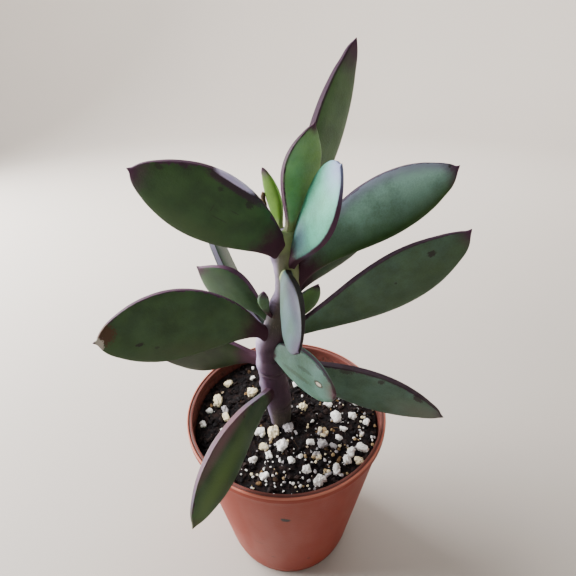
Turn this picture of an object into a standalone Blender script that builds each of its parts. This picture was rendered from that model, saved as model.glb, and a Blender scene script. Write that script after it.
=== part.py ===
"""Potted senecio: a young succulent with thick flat leaves, growing in a small plastic pot.

The model stands on Z = 0 with the middle of the pot's underside at the origin.
+Z is up, and -Y is the side from which the plant is best seen.
"""
import math
import random

import bmesh
import bpy
from mathutils import Vector, noise

MM = 0.001
GAP = 0.3 * MM

# Pot
POT_HEIGHT = 87 * MM
RIM_RADIUS = 45 * MM
RIM_BAND_HEIGHT = 3.2 * MM
RIM_BAND_STEP = 0.8 * MM
LIP_WIDTH = 2.4 * MM
LIP_GROOVE_DEPTH = 0.5 * MM
FOOT_RADIUS = 31.6 * MM
FOOT_ROUNDING = 2.4 * MM
WALL = 1.2 * MM
FLOOR = 1.4 * MM
POT_SEGMENTS = 48
DRAIN_HOLES = 6
DRAIN_HOLE_RADIUS = 3.5 * MM
DRAIN_HOLE_RING = 20 * MM

# Soil
SOIL_BELOW_RIM = 6 * MM
SOIL_ROUGHNESS = 1.1 * MM
SOIL_RINGS = 9
SOIL_SEGMENTS = 36
STEM_DEPTH_IN_SOIL = 28 * MM

# Grains of white mineral in the soil: the largest, as x, y and radius in mm
LARGE_GRAINS = [
    (-29, 20.5, 2.3), (-33, 9.5, 3.0), (-29, 4, 1.9), (-28, -0.5, 2.3), (-38.5, -4, 1.9),
    (-17, 14, 2.8), (5.5, 19, 1.9), (8, 4.5, 2.2), (20, 5.5, 1.9), (23, -2, 2.7),
    (30.5, -2, 2.0), (36.5, -5.5, 1.9), (-6, -10, 3.1), (-12, -9.5, 2.2), (0.5, -8, 2.8),
    (-2, -17, 2.7), (-10, -17.5, 1.9), (-8, -21.5, 1.7), (-14.5, -23.5, 1.7), (16, -10.5, 2.6),
    (15.5, -17, 2.2), (20, -18, 1.7), (12.5, -22.5, 2.1), (8, -28.5, 1.9), (16, -30.5, 1.8),
    (20, -28.5, 2.2), (12.5, -34, 2.6), (25, -24.5, 2.2), (27.5, -20.5, 2.1), (32.5, -19, 2.3),
    (30, -25, 1.9), (-9.5, -31, 1.8),
]
SMALL_GRAINS = 24
SMALL_GRAIN_RADIUS = 1.3 * MM
GRAIN_SEED = 12

# Stem: height above the pot's base, then the axis's x and y and the radius, in mm
STEM_PATH = [
    (53, -2.4, -2.8, 3.8), (62, -2.4, -2.7, 4.0), (72, -2.4, -2.6, 4.2), (81, -2.5, -2.5, 4.5),
    (88, -2.9, -2.0, 5.3), (95, -3.5, -1.5, 5.8), (102, -4.6, -0.9, 5.7), (108, -5.6, -0.4, 5.6),
    (118, -6.4, 0.0, 5.2), (125, -6.2, 0.0, 5.1), (130, -4.2, 0.0, 5.0), (135, -2.2, 0.0, 5.0),
    (142, -0.9, 0.0, 4.8), (150, 1.6, 0.0, 4.4), (157, 1.7, 0.0, 4.3), (163, 1.3, 0.0, 4.2),
    (169, 1.5, 0.0, 3.6), (174.5, 1.4, 0.0, 2.8),
]
STEM_SIDES = 14
STEM_RINGS = 30
NODE_SWELLING = 0.35 * MM
NODE_LENGTH = 3 * MM

# Leaf blades
LEAF_STATIONS = 13
LEAF_SIDES = 8
STALK_RADIUS = 2.2 * MM
EDGE_SQUARENESS = 0.6
FACE_FLATNESS = 0.8
TIP_LENGTH = 0.025
TIP_RADIUS = 1.2 * MM
LEAF_THICKNESS = 4.5
SMALL_LEAF_STATIONS = 9
SMALL_LEAF_SIDES = 8


class Leaf:
    """One leaf. Lengths are in mm and angles in degrees.

    height    of the leaf's joint above the pot's base
    heading   the way it leaves the stem, seen from above, anticlockwise from +X
    sweep     how far the heading turns by the tip
    rise      the stalk's slope above level
    lift      how far the slope changes by the tip
    arch      a bow between stalk and tip, added to the lift
    roll      the blade's turn about its own length; at 0 it stands on edge
    twist     how far the roll changes by the tip
    widest    where along the leaf it is widest
    fullness  under 1 is rounded at the ends, 1 is drawn out
    joint     where round the stem it grows, as an angle; if not given, at its heading
    start     how far from the stem's axis the leaf starts, in mm
    stalk     the stalk's radius as a share of the usual one
    flare     how much deeper the stalk is where it meets the stem, in mm
    neck      the share of the length that is stalk alone, before the blade begins
    """

    def __init__(self, height, heading, rise, length, width, sweep=0, lift=0, arch=0,
                 roll=0, twist=0, widest=0.58, fullness=0.65, thickness=LEAF_THICKNESS,
                 joint=None, start=2.4, stalk=1.0, flare=1.0, neck=0, fine=True):
        self.height = height * MM
        self.heading = heading
        self.rise = rise
        self.length = length * MM
        self.width = width * MM
        self.sweep = sweep
        self.lift = lift
        self.arch = arch
        self.roll = roll
        self.twist = twist
        self.widest = widest
        self.fullness = fullness
        self.thickness = thickness * MM
        self.joint = heading if joint is None else joint
        self.start = start * MM
        self.stalk = stalk * STALK_RADIUS
        self.flare = flare * MM
        self.neck = neck
        self.fine = fine


LEAVES = {
    "leaf_upper_left": Leaf(168, 197, 49, 58, 24.8, sweep=-1.5, lift=-14.5, arch=27, roll=8,
                            twist=5, widest=0.56, fullness=0.64, joint=232, start=1.8,
                            flare=2.0),
    "leaf_back_left": Leaf(127.5, 138, 36, 65.5, 20, sweep=-2, lift=41, arch=-3, roll=45,
                           widest=0.58, fullness=0.7, joint=105, start=2.6),
    "leaf_mid_left": Leaf(130.5, 199, 43, 68.5, 26.3, sweep=23.5, lift=-30.5, arch=37.5,
                          roll=-4.5, twist=-2.5, widest=0.58, fullness=0.62, joint=236,
                          flare=1.4, neck=0.07),
    "leaf_small_left": Leaf(136, 176, 48, 37, 20.5, sweep=-2.5, lift=-17.5, arch=-3.5, roll=6,
                            twist=24, widest=0.7, fullness=0.88, joint=155, flare=0.3),
    "leaf_top": Leaf(167, 61.5, 46.5, 79.5, 21, sweep=-14, lift=16, arch=1, roll=2, twist=-1.5,
                     widest=0.56, fullness=0.73, start=1.6),
    "leaf_top_young": Leaf(175, 15, 82.5, 37.5, 15.2, lift=-12.5, roll=-21.5, widest=0.63,
                           fullness=0.88, thickness=3.4, joint=-20, start=1.4, stalk=0.6,
                           flare=0.5),
    "leaf_top_front": Leaf(163.5, -42.2, 56.3, 45.2, 22.5, sweep=-6.5, lift=8.5, arch=-7, roll=29.5,
                           twist=3, widest=0.67, fullness=0.56, start=1.9),
    "leaf_upper_right": Leaf(152.5, 14.5, 59, 75.5, 22.9, sweep=-1.5, lift=-36.5, arch=58,
                             roll=12, widest=0.62, fullness=0.66, start=2.0),
    "leaf_back_right": Leaf(147.2, 43, 29, 60, 21, sweep=-6.5, lift=-6, arch=3.5, roll=8.5,
                            twist=2.5, widest=0.63, fullness=0.72, joint=42, start=2.0,
                            flare=0.4),
    "leaf_mid_right": Leaf(128.5, -6, 27.5, 83, 23.7, lift=16.5, arch=1.5, roll=-13, twist=4.5,
                           widest=0.65, fullness=0.7),
    "leaf_front": Leaf(159, -88, 10.5, 42, 16.6, sweep=4.5, lift=-26, arch=3.5, roll=18,
                       twist=-2, widest=0.7, fullness=0.52, thickness=4.2, joint=-100,
                       start=2.0),
    "leaf_low_front": Leaf(123.5, -45, 3.5, 36.5, 18.5, sweep=-13, lift=8, arch=28, roll=4,
                           twist=-4.5, widest=0.56, fullness=0.49, thickness=5.0),
    "leaf_low_right": Leaf(114, -12.5, -7.5, 72.5, 23.6, sweep=-3.5, lift=-8.5, arch=6.5,
                           roll=-9, twist=-1.5, widest=0.58, fullness=0.69),
    "leaf_low_left": Leaf(114.5, 155, 6, 51, 22, sweep=21.5, lift=-29, arch=5, roll=3.5,
                          twist=-1.5, widest=0.65, fullness=0.73, joint=165),
    "leaf_over_rim": Leaf(101, -116, 18, 64, 21.2, lift=-47.5, arch=6, roll=-4, twist=-12.5,
                          widest=0.64, fullness=0.71),
    "leaf_young": Leaf(174.5, 152, 89, 23, 5.7, sweep=3.5, lift=-26, arch=2, roll=8.5,
                       widest=0.57, fullness=0.69, thickness=2.4, joint=145, start=2.5,
                       stalk=0.5, flare=0.4, fine=False),
    "shoot_left": Leaf(140, 200, 47, 13.6, 4.2, lift=57.5, widest=0.72, fullness=0.64,
                       thickness=3.4, joint=222, start=3.6, stalk=0.42, flare=0, fine=False),
    "shoot_right": Leaf(134.5, 10, 40, 21, 10.5, sweep=3.5, lift=20, roll=-17, widest=0.6,
                        fullness=0.75, thickness=3.0, joint=20, start=3.4, stalk=0.75, flare=0.2,
                        fine=False),
}

POT_COLOR = (0.50, 0.17, 0.10)
SOIL_COLOR = (0.018, 0.013, 0.012)
STEM_COLOR = (0.12, 0.09, 0.11)
LEAF_COLOR = (0.06, 0.14, 0.05)
BLOOMED_LEAF_COLOR = (0.16, 0.32, 0.25)
YOUNG_LEAF_COLOR = (0.14, 0.30, 0.04)
BLOOMED_LEAVES = ("leaf_top_front", "leaf_front", "leaf_low_front", "leaf_upper_right")
YOUNG_LEAVES = ("leaf_young", "leaf_top_young", "shoot_left", "shoot_right")


def clear_scene():
    """Removes whatever the file holds."""
    for obj in list(bpy.data.objects):
        bpy.data.objects.remove(obj, do_unlink=True)


def make_material(name, color, roughness):
    """A plain Principled material."""
    material = bpy.data.materials.new(name)
    material.use_nodes = True
    shader = material.node_tree.nodes["Principled BSDF"]
    shader.inputs["Base Color"].default_value = (*color, 1)
    shader.inputs["Roughness"].default_value = roughness
    shader.inputs["Metallic"].default_value = 0
    return material


def object_from(name, bm, material=None, at=(0, 0, 0), smooth=True):
    """Turns a bmesh into an object of the scene, with its origin at a point."""
    bmesh.ops.recalc_face_normals(bm, faces=bm.faces)
    bmesh.ops.translate(bm, vec=-Vector(at), verts=bm.verts)
    mesh = bpy.data.meshes.new(name)
    bm.to_mesh(mesh)
    bm.free()
    if material:
        mesh.materials.append(material)
    if smooth:
        mesh.shade_smooth()
        mesh.set_sharp_from_angle(angle=math.radians(40))
    obj = bpy.data.objects.new(name, mesh)
    obj.location = at
    bpy.context.scene.collection.objects.link(obj)
    return obj


def mark_as_cutter(obj):
    """Keeps a cutter out of the model."""
    obj.hide_render = True
    obj.display_type = "WIRE"


def boolean(obj, cutter, operation, keep=True):
    """Adds a Boolean by an object, or by a collection, and applies it where keep is False."""
    modifier = obj.modifiers.new(operation.lower(), "BOOLEAN")
    modifier.operation = operation
    modifier.solver = "EXACT"
    if isinstance(cutter, bpy.types.Collection):
        modifier.operand_type = "COLLECTION"
        modifier.collection = cutter
    else:
        modifier.object = cutter
    if keep:
        return
    bpy.context.view_layer.update()
    evaluated = obj.evaluated_get(bpy.context.evaluated_depsgraph_get())
    old_mesh = obj.data
    obj.data = bpy.data.meshes.new_from_object(evaluated)
    obj.modifiers.clear()
    bpy.data.meshes.remove(old_mesh)


def loft(bm, rings, close_ends=True):
    """Bridges equal rings of points into one skin, and fills the two ends."""
    loops = [[bm.verts.new(point) for point in ring] for ring in rings]
    count = len(loops[0])
    for lower, upper in zip(loops, loops[1:]):
        for i in range(count):
            j = (i + 1) % count
            bm.faces.new((lower[i], lower[j], upper[j], upper[i]))
    if close_ends:
        bm.faces.new(reversed(loops[0]))
        bm.faces.new(loops[-1])
    return loops


def circle(radius, z, sides, center=(0, 0)):
    """Points of a level circle."""
    angles = [math.tau * i / sides for i in range(sides)]
    return [Vector((center[0] + radius * math.cos(a), center[1] + radius * math.sin(a), z))
            for a in angles]


def pot_wall_radius(z):
    """The outer radius of the tapered wall at a height."""
    under_band = RIM_RADIUS - RIM_BAND_STEP
    return FOOT_RADIUS + (under_band - FOOT_RADIUS) * z / (POT_HEIGHT - RIM_BAND_HEIGHT)


def pot_profile():
    """The pot's half section, from the middle of the underside round to the inside floor."""
    foot = pot_wall_radius(0)
    corner = [(foot - FOOT_ROUNDING * (1 - math.sin(a)), FOOT_ROUNDING * (1 - math.cos(a)))
              for a in (0, math.radians(45), math.radians(90))]
    band_foot = POT_HEIGHT - RIM_BAND_HEIGHT
    inner_rim = RIM_RADIUS - LIP_WIDTH
    groove = RIM_RADIUS - 0.45 * LIP_WIDTH
    lip_top = POT_HEIGHT - 0.3 * MM
    points = corner + [
        (pot_wall_radius(band_foot), band_foot - 0.6 * MM),
        (RIM_RADIUS, band_foot),
        (RIM_RADIUS, POT_HEIGHT - 0.5 * MM),
        (RIM_RADIUS - 0.5 * MM, POT_HEIGHT),
        (groove, POT_HEIGHT - LIP_GROOVE_DEPTH),
        (inner_rim + 0.6 * MM, lip_top),
        (inner_rim, lip_top - 0.4 * MM),
        (inner_rim, lip_top - 1.4 * MM),
        (pot_wall_radius(band_foot) - WALL, band_foot - 0.6 * MM),
        (pot_wall_radius(FLOOR + 2 * MM) - WALL, FLOOR + 2 * MM),
        (pot_wall_radius(0) - WALL - 2 * MM, FLOOR),
    ]
    return points


def build_pot():
    """A tapered thin-walled pot with a lipped rim, a flat underside and drain holes."""
    bm = bmesh.new()
    loft(bm, [circle(radius, z, POT_SEGMENTS) for radius, z in pot_profile()])
    pot = object_from("pot", bm, make_material("pot", POT_COLOR, 0.45))
    for i in range(DRAIN_HOLES):
        angle = math.tau * (i + 0.5) / DRAIN_HOLES
        center = (DRAIN_HOLE_RING * math.cos(angle), DRAIN_HOLE_RING * math.sin(angle))
        hole = bmesh.new()
        loft(hole, [circle(DRAIN_HOLE_RADIUS, z, 16, center) for z in (-FLOOR, 2 * FLOOR)])
        cutter = object_from(f"drain_hole_{i}", hole)
        mark_as_cutter(cutter)
        boolean(pot, cutter, "DIFFERENCE")
    return pot


def soil_radius(z):
    """How far the soil reaches at a height: up to the wall, less the gap."""
    return pot_wall_radius(z) - WALL - GAP


def soil_height(x, y):
    """The height of the soil's uneven top at a place."""
    coarse = noise.noise(Vector((x, y, 0)) / (9 * MM))
    fine = noise.noise(Vector((x, y, 7 * MM)) / (4 * MM))
    settled = math.hypot(x, y) / RIM_RADIUS
    level = POT_HEIGHT - SOIL_BELOW_RIM - 1.2 * MM * settled ** 4
    return level + SOIL_ROUGHNESS * (0.7 * coarse + 0.5 * fine)


def soil_ground(bm):
    """The soil without its grains: a tapered plug with an uneven top."""
    level = POT_HEIGHT - SOIL_BELOW_RIM - 2.5 * MM
    bottom = FLOOR + GAP
    low = bottom + 2.2 * MM
    foot_radius = pot_wall_radius(0) - WALL - 2 * MM - GAP
    rings = [circle(foot_radius, bottom, SOIL_SEGMENTS),
             circle(soil_radius(low) - 0.2 * MM, low, SOIL_SEGMENTS),
             circle(soil_radius(level), level, SOIL_SEGMENTS)]
    for ring in range(SOIL_RINGS, 0, -1):
        radius = (soil_radius(level) - 0.4 * MM) * ring / SOIL_RINGS
        rings.append([Vector((p.x, p.y, soil_height(p.x, p.y)))
                      for p in circle(radius, 0, SOIL_SEGMENTS)])
    loops = loft(bm, rings, close_ends=False)
    bm.faces.new(reversed(loops[0]))
    middle = bm.verts.new((0, 0, soil_height(0, 0)))
    for i in range(SOIL_SEGMENTS):
        j = (i + 1) % SOIL_SEGMENTS
        bm.faces.new((loops[-1][i], loops[-1][j], middle))
    bmesh.ops.triangulate(bm, faces=[face for face in bm.faces if len(face.verts) == 4])


def grain(name, x, y, radius, subdivisions, draw):
    """One rough grain, sunk by half into the soil."""
    bm = bmesh.new()
    bmesh.ops.create_icosphere(bm, subdivisions=subdivisions, radius=radius)
    stretch = Vector((draw.uniform(0.85, 1.15), draw.uniform(0.75, 1.0), draw.uniform(0.75, 0.95)))
    turn = draw.uniform(0, math.tau)
    for vert in bm.verts:
        bump = 1 + 0.16 * noise.noise(vert.co / radius * 1.3 + Vector((x, y, 0)) / MM)
        p = Vector([a * b for a, b in zip(vert.co, stretch)]) * bump
        vert.co = Vector((p.x * math.cos(turn) - p.y * math.sin(turn),
                          p.x * math.sin(turn) + p.y * math.cos(turn), p.z))
        vert.co += Vector((x, y, soil_height(x, y) + 0.15 * radius))
    return object_from(name, bm, smooth=False)


def scatter(draw, taken):
    """Free places for the small grains, thicker on the ground towards the front right."""
    places = []
    while len(places) < SMALL_GRAINS:
        angle = draw.uniform(0, math.tau)
        radius = (RIM_RADIUS - 7.5 * MM) * math.sqrt(draw.random())
        x = radius * math.cos(angle)
        y = radius * math.sin(angle)
        wanted = 0.35 + 0.65 * (0.5 + (x - y) / (2.5 * RIM_RADIUS))
        free = all(math.hypot(x - a, y - b) > r + 2.0 * SMALL_GRAIN_RADIUS for a, b, r in taken)
        if free and draw.random() < wanted:
            size = SMALL_GRAIN_RADIUS * draw.uniform(0.7, 1.3)
            places.append((x, y, size))
            taken.append((x, y, size))
    return places


def build_soil(stem_hole):
    """The soil with its grains raised from it, and the plain hole that the stem stands in."""
    bm = bmesh.new()
    soil_ground(bm)
    soil = object_from("soil", bm, make_material("soil", SOIL_COLOR, 0.95), smooth=False)
    draw = random.Random(GRAIN_SEED)
    large = [(x * MM, y * MM, r * MM) for x, y, r in LARGE_GRAINS]
    stem_x, stem_y = STEM_PATH[2][1] * MM, STEM_PATH[2][2] * MM
    taken = large + [(stem_x, stem_y, STEM_PATH[2][3] * MM)]
    small = scatter(draw, taken)
    grains = bpy.data.collections.new("grains")
    bpy.context.scene.collection.children.link(grains)
    for i, (x, y, radius) in enumerate(large + small):
        subdivisions = 2 if i < len(large) else 1
        obj = grain(f"grain_{i}", x, y, radius, subdivisions, draw)
        bpy.context.scene.collection.objects.unlink(obj)
        grains.objects.link(obj)
    boolean(soil, grains, "UNION", keep=False)
    for obj in list(grains.objects):
        bpy.data.objects.remove(obj, do_unlink=True)
    bpy.data.collections.remove(grains)
    boolean(soil, stem_hole, "DIFFERENCE")
    return soil


def smooth_between(points, t):
    """A smooth value through a list of tuples, with t from 0 to 1 along the list."""
    last = len(points) - 1
    place = min(max(t * last, 0), last - 1e-9)
    i = int(place)
    u = place - i
    p0 = points[max(i - 1, 0)]
    p1 = points[i]
    p2 = points[i + 1]
    p3 = points[min(i + 2, last)]
    return [0.5 * (2 * b + (c - a) * u + (2 * a - 5 * b + 4 * c - d) * u ** 2
                   + (3 * b - a - 3 * c + d) * u ** 3)
            for a, b, c, d in zip(p0, p1, p2, p3)]


def stem_at(height):
    """The stem's axis and radius at a height."""
    low, high = 0.0, 1.0
    for _ in range(40):
        middle = (low + high) / 2
        if smooth_between(STEM_PATH, middle)[0] * MM < height:
            low = middle
        else:
            high = middle
    z, x, y, radius = smooth_between(STEM_PATH, low)
    return Vector((x * MM, y * MM, z * MM)), radius * MM


def stem_rings(extra=0.0):
    """Rings of the stem's skin, fuller at each leaf's joint, and grown by extra."""
    bottom = POT_HEIGHT - SOIL_BELOW_RIM - STEM_DEPTH_IN_SOIL - extra
    top = STEM_PATH[-1][0] * MM + extra
    rings = []
    for i in range(STEM_RINGS + 1):
        z = bottom + (top - bottom) * i / STEM_RINGS
        center, radius = stem_at(z)
        for leaf in LEAVES.values():
            radius += NODE_SWELLING * math.exp(-((z - leaf.height) / NODE_LENGTH) ** 2)
        rings.append(circle(radius + extra, z, STEM_SIDES, center))
    top_center = stem_at(top)[0]
    for share, drop in ((0.75, 0.5), (0.35, 0.8)):
        rings.append(circle(share * (STEM_PATH[-1][3] * MM + extra), top + drop * MM,
                            STEM_SIDES, top_center))
    return rings


def build_stem():
    """The stem, a cutter for the leaves' seats on it, and the cutter for its hole."""
    bm = bmesh.new()
    loft(bm, stem_rings())
    foot = stem_at(POT_HEIGHT - SOIL_BELOW_RIM)[0]
    stem = object_from("stem", bm, make_material("stem", STEM_COLOR, 0.6), at=foot)
    cutters = []
    for name in ("leaf_seats", "stem_hole"):
        grown = bmesh.new()
        loft(grown, stem_rings(extra=GAP))
        cutter = object_from(name, grown)
        mark_as_cutter(cutter)
        cutters.append(cutter)
    return stem, cutters


def leaf_half_width(leaf, s):
    """Half the leaf's width at a share s of its length: stalk, blade and pointed tip."""
    power = math.log(0.5) / math.log(leaf.widest)
    blade_share = min(max(s - leaf.neck, 0) / (1 - TIP_LENGTH - leaf.neck), 1)
    blade = leaf.width / 2 * max(math.sin(math.pi * blade_share ** power), 0) ** leaf.fullness
    stalk = leaf.stalk * math.sqrt(max(1 - 2 * s, 0)) + leaf.flare * max(1 - 7 * s, 0)
    tip = TIP_RADIUS * min((1 - s) / (2.2 * TIP_LENGTH), 1) if s > 0.5 else 0
    return max(math.hypot(blade, stalk), tip, 0.45 * MM)


def leaf_half_thickness(leaf, s):
    """Half the leaf's thickness, from a round stalk to a thin tip."""
    body = leaf.thickness / 2 * math.sin(math.pi * (0.18 + 0.80 * s)) ** 0.6
    stalk = (0.9 * leaf.stalk - 0.6 * leaf.thickness / 2) * max(1 - 5 * s, 0)
    return max(body + stalk, 0.4 * MM)


def leaf_rings(leaf, stations, sides):
    """Rings of the leaf's skin, from inside the stem out to the tip."""
    axis, _ = stem_at(leaf.height)
    joint = math.radians(leaf.joint)
    point = axis + leaf.start * Vector((math.cos(joint), math.sin(joint), 0))
    steps = 48
    rings = []
    for i in range(steps + 1):
        s = i / steps
        yaw = math.radians(leaf.heading + leaf.sweep * s)
        slope = math.radians(leaf.rise + leaf.lift * s + leaf.arch * (s * s - s))
        roll = math.radians(leaf.roll + leaf.twist * s)
        along = Vector((math.cos(slope) * math.cos(yaw), math.cos(slope) * math.sin(yaw),
                        math.sin(slope)))
        upward = Vector((-math.sin(slope) * math.cos(yaw), -math.sin(slope) * math.sin(yaw),
                         math.cos(slope)))
        level = Vector((-math.sin(yaw), math.cos(yaw), 0))
        side = upward * math.cos(roll) + level * math.sin(roll)
        face = along.cross(side)
        if i:
            point = point + (along + previous).normalized() * leaf.length / steps
        previous = along
        if i * stations % steps < stations or i == steps:
            rings.append(leaf_ring(leaf, s, point, side, face, sides))
    return rings


def leaf_ring(leaf, s, point, side, face, sides):
    """One flattened ring across the leaf."""
    half_width = leaf_half_width(leaf, s)
    half_thickness = leaf_half_thickness(leaf, s)
    ring = []
    widest = math.cos(math.pi / sides) ** EDGE_SQUARENESS
    for k in range(sides):
        angle = math.tau * (k + 0.5) / sides
        across = math.copysign(abs(math.cos(angle)) ** EDGE_SQUARENESS, math.cos(angle)) / widest
        through = math.copysign(abs(math.sin(angle)) ** FACE_FLATNESS, math.sin(angle))
        ring.append(point + side * (half_width * across) + face * (half_thickness * through))
    return ring


def build_leaf(name, leaf, seats):
    """A thick blade with its foot trimmed to the stem."""
    stations = LEAF_STATIONS if leaf.fine else SMALL_LEAF_STATIONS
    sides = LEAF_SIDES if leaf.fine else SMALL_LEAF_SIDES
    bm = bmesh.new()
    loft(bm, leaf_rings(leaf, stations, sides))
    bmesh.ops.triangulate(bm, faces=[face for face in bm.faces if len(face.verts) == 4])
    color = LEAF_COLOR
    if name in BLOOMED_LEAVES:
        color = BLOOMED_LEAF_COLOR
    if name in YOUNG_LEAVES:
        color = YOUNG_LEAF_COLOR
    joint = stem_at(leaf.height)[0]
    obj = object_from(name, bm, make_material(name, color, 0.5), at=joint)
    boolean(obj, seats, "DIFFERENCE")
    return obj


def main():
    """Builds the pot, the soil, the stem and every leaf, and ties them to one empty."""
    clear_scene()
    stem, (seats, stem_hole) = build_stem()
    pieces = [build_pot(), build_soil(stem_hole), stem]
    for name, leaf in LEAVES.items():
        pieces.append(build_leaf(name, leaf, seats))
    whole = bpy.data.objects.new("potted_senecio", None)
    bpy.context.scene.collection.objects.link(whole)
    for piece in pieces:
        piece.parent = whole


main()
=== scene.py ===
"""Looks of a young potted senecio: a thin plastic pot, gritty soil, a crooked purple stem and
thick blades held on edge, each with its waxy bloom and purple margin. Light and shade are also
painted into the leaves' colours and marks, the stem's bloom, the pot's inside and lip, and the
grey grains."""
import math
import random
from dataclasses import dataclass

import bmesh
import bpy
import numpy as np
from mathutils import Matrix, Vector, noise


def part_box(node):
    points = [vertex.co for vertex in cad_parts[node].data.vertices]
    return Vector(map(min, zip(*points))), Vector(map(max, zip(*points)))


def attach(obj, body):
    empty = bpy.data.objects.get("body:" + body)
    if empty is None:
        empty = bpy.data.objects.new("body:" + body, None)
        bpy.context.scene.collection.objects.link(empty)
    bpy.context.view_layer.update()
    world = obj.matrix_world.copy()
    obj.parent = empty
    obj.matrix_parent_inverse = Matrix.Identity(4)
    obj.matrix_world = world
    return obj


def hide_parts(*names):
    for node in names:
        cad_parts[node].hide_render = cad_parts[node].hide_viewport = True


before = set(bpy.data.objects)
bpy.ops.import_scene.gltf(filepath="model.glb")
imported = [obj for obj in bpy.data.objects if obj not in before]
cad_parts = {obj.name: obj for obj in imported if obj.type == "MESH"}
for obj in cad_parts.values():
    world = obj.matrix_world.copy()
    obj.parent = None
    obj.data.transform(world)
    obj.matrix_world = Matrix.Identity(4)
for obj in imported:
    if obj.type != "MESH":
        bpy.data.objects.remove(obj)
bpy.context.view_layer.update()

bl_info = {
    "name": "Potted senecio",
    "version": (1, 0, 0),
    "blender": (4, 5, 0),
    "location": "3D View > Sidebar > Senecio",
    "description": "Makes the finished pieces of a potted senecio",
    "category": "Add Mesh",
}

MM = 0.001
BODY = "root"

# Pot, from the packed model, and the details of its lip and wall
POT_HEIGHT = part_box("pot")[1].z
RIM_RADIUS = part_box("pot")[1].x
RIM_BAND_HEIGHT = 3.2 * MM
RIM_BAND_STEP = 0.8 * MM
RIM_BAND_SLOPE = 0.6 * MM
LIP_WIDTH = 2.4 * MM
LIP_OUTER_RING = 0.8 * MM
LIP_INNER_DROP = 0.3 * MM
LIP_DEPTH = 1.4 * MM
GROOVE_DEPTH = 0.5 * MM
GROOVE_WIDTH = 0.3 * MM
GROOVE_RADIUS = RIM_RADIUS - 0.45 * LIP_WIDTH
FOOT_RADIUS = 31.6 * MM
FOOT_ROUNDING = 2.4 * MM
WALL = 1.2 * MM
FLOOR = 1.4 * MM
FLOOR_CORNER = 2 * MM
MIDDLE_RING = 0.3 * MM
POT_SEGMENTS = 192
DRAIN_HOLES = 6
DRAIN_HOLE_RADIUS = 3.5 * MM
DRAIN_HOLE_RING = 20 * MM

# Soil
GAP = 0.3 * MM
SOIL_BELOW_RIM = 6 * MM
SOIL_FALL_TO_WALL = 1.2 * MM
SOIL_EDGE_DROP = 2.5 * MM
SOIL_FOOT_CORNER = 2 * MM
SOIL_ROUGHNESS = 1.1 * MM
SWELL_SIZE = 9 * MM
DIP_SIZE = 4 * MM
SOIL_RINGS = 84
SOIL_SEGMENTS = 216
CLOD_SIZE = 2.6 * MM
CRUMB_SIZE = 1.3 * MM
GRIT_SIZE = 0.6 * MM

# Grains of white mineral: x, y and radius in mm, and the tint; grey is painted shade on grains in
# shade
LARGE_GRAINS = [
    (-29, 20.5, 2.3, "cream"), (-33, 9.5, 3.0, "cream"), (-29, 4, 1.9, "grey"),
    (-28, -0.5, 2.3, "cream"), (-38.5, -4, 1.9, "white"), (-17, 14, 2.8, "cream"),
    (5.5, 19, 1.9, "white"), (8, 4.5, 2.2, "cream"), (20, 5.5, 1.9, "white"),
    (23, -2, 2.7, "white"), (30.5, -2, 2.0, "white"), (36.5, -5.5, 1.9, "white"),
    (-6, -10, 3.1, "cream"), (-12, -9.5, 2.2, "white"), (0.5, -8, 2.8, "grey"),
    (-2, -17, 2.7, "white"), (-10, -17.5, 1.9, "cream"), (-8, -21.5, 1.7, "white"),
    (-14.5, -23.5, 1.7, "white"), (16, -10.5, 2.6, "tan"), (15.5, -17, 2.2, "grey"),
    (20, -18, 1.7, "grey"), (12.5, -22.5, 2.1, "tan"), (8, -28.5, 1.9, "white"),
    (16, -30.5, 1.8, "tan"), (20, -28.5, 2.2, "white"), (12.5, -34, 2.6, "white"),
    (25, -24.5, 2.2, "white"), (27.5, -20.5, 2.1, "white"), (32.5, -19, 2.3, "white"),
    (30, -25, 1.9, "cream"), (-9.5, -31, 1.8, "white"),
]
# grey is painted shade on large white grains in shade; grit and bark lobes draw it at random
GRAIN_TINTS = {
    "white": (0.92, 0.91, 0.88),
    "cream": (0.88, 0.77, 0.50),
    "grey": (0.36, 0.34, 0.36),
    "tan": (0.36, 0.25, 0.12),
}
# Bumps of grains, grit and crumbs: how many across a lump, and how deep as a share of it
GRAIN_BUMPS = [(1.3, 0.24), (2.9, 0.20), (6.0, 0.10), (12.0, 0.05)]
GRIT_BUMPS = [(1.4, 0.4), (4.0, 0.2)]
CRUMB_BUMPS = [(1.2, 0.45), (3.5, 0.3)]
BLOCK_HALF_WIDTH = 0.78
GRAIN_LOBES = (0.98, 0.68, 0.5)
BARK_LOBES = 6
BARK_LOBE = 0.5
SMALL_GRAINS = 24
SMALL_GRAIN_RADIUS = 1.3 * MM
SMALL_GRAIN_REACH = RIM_RADIUS - 7.5 * MM
GRAIN_SEED = 12
GRIT = 300
GRIT_SEED = 5
CRUMBS = 1500
CRUMB_SEED = 8
FIBRES = 46
FIBRE_SEED = 3
FIBRE_REACH = 36 * MM
FIBRE_RINGS = 9
FIBRE_SIDES = 6

# Stem: height above the pot's base, then the axis's x and y and the radius, in mm
STEM_PATH = [
    (53, -2.4, -2.8, 3.8), (62, -2.4, -2.7, 4.0), (72, -2.4, -2.6, 4.2), (81, -2.5, -2.5, 4.5),
    (88, -2.9, -2.0, 5.3), (95, -3.5, -1.5, 5.8), (102, -4.6, -0.9, 5.7), (108, -5.6, -0.4, 5.6),
    (118, -6.4, 0.0, 5.2), (125, -6.2, 0.0, 5.1), (130, -4.2, 0.0, 5.0), (135, -2.2, 0.0, 5.0),
    (142, -0.9, 0.0, 4.8), (150, 1.6, 0.0, 4.4), (157, 1.7, 0.0, 4.3), (163, 1.3, 0.0, 4.2),
    (169, 1.5, 0.0, 3.6), (174.5, 1.4, 0.0, 2.8),
]
STEM_DEPTH_IN_SOIL = 28 * MM
STEM_SIDES = 96
STEM_RINGS = 300
NODE_SWELLING = 0.35 * MM
NODE_LENGTH = 3 * MM
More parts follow.
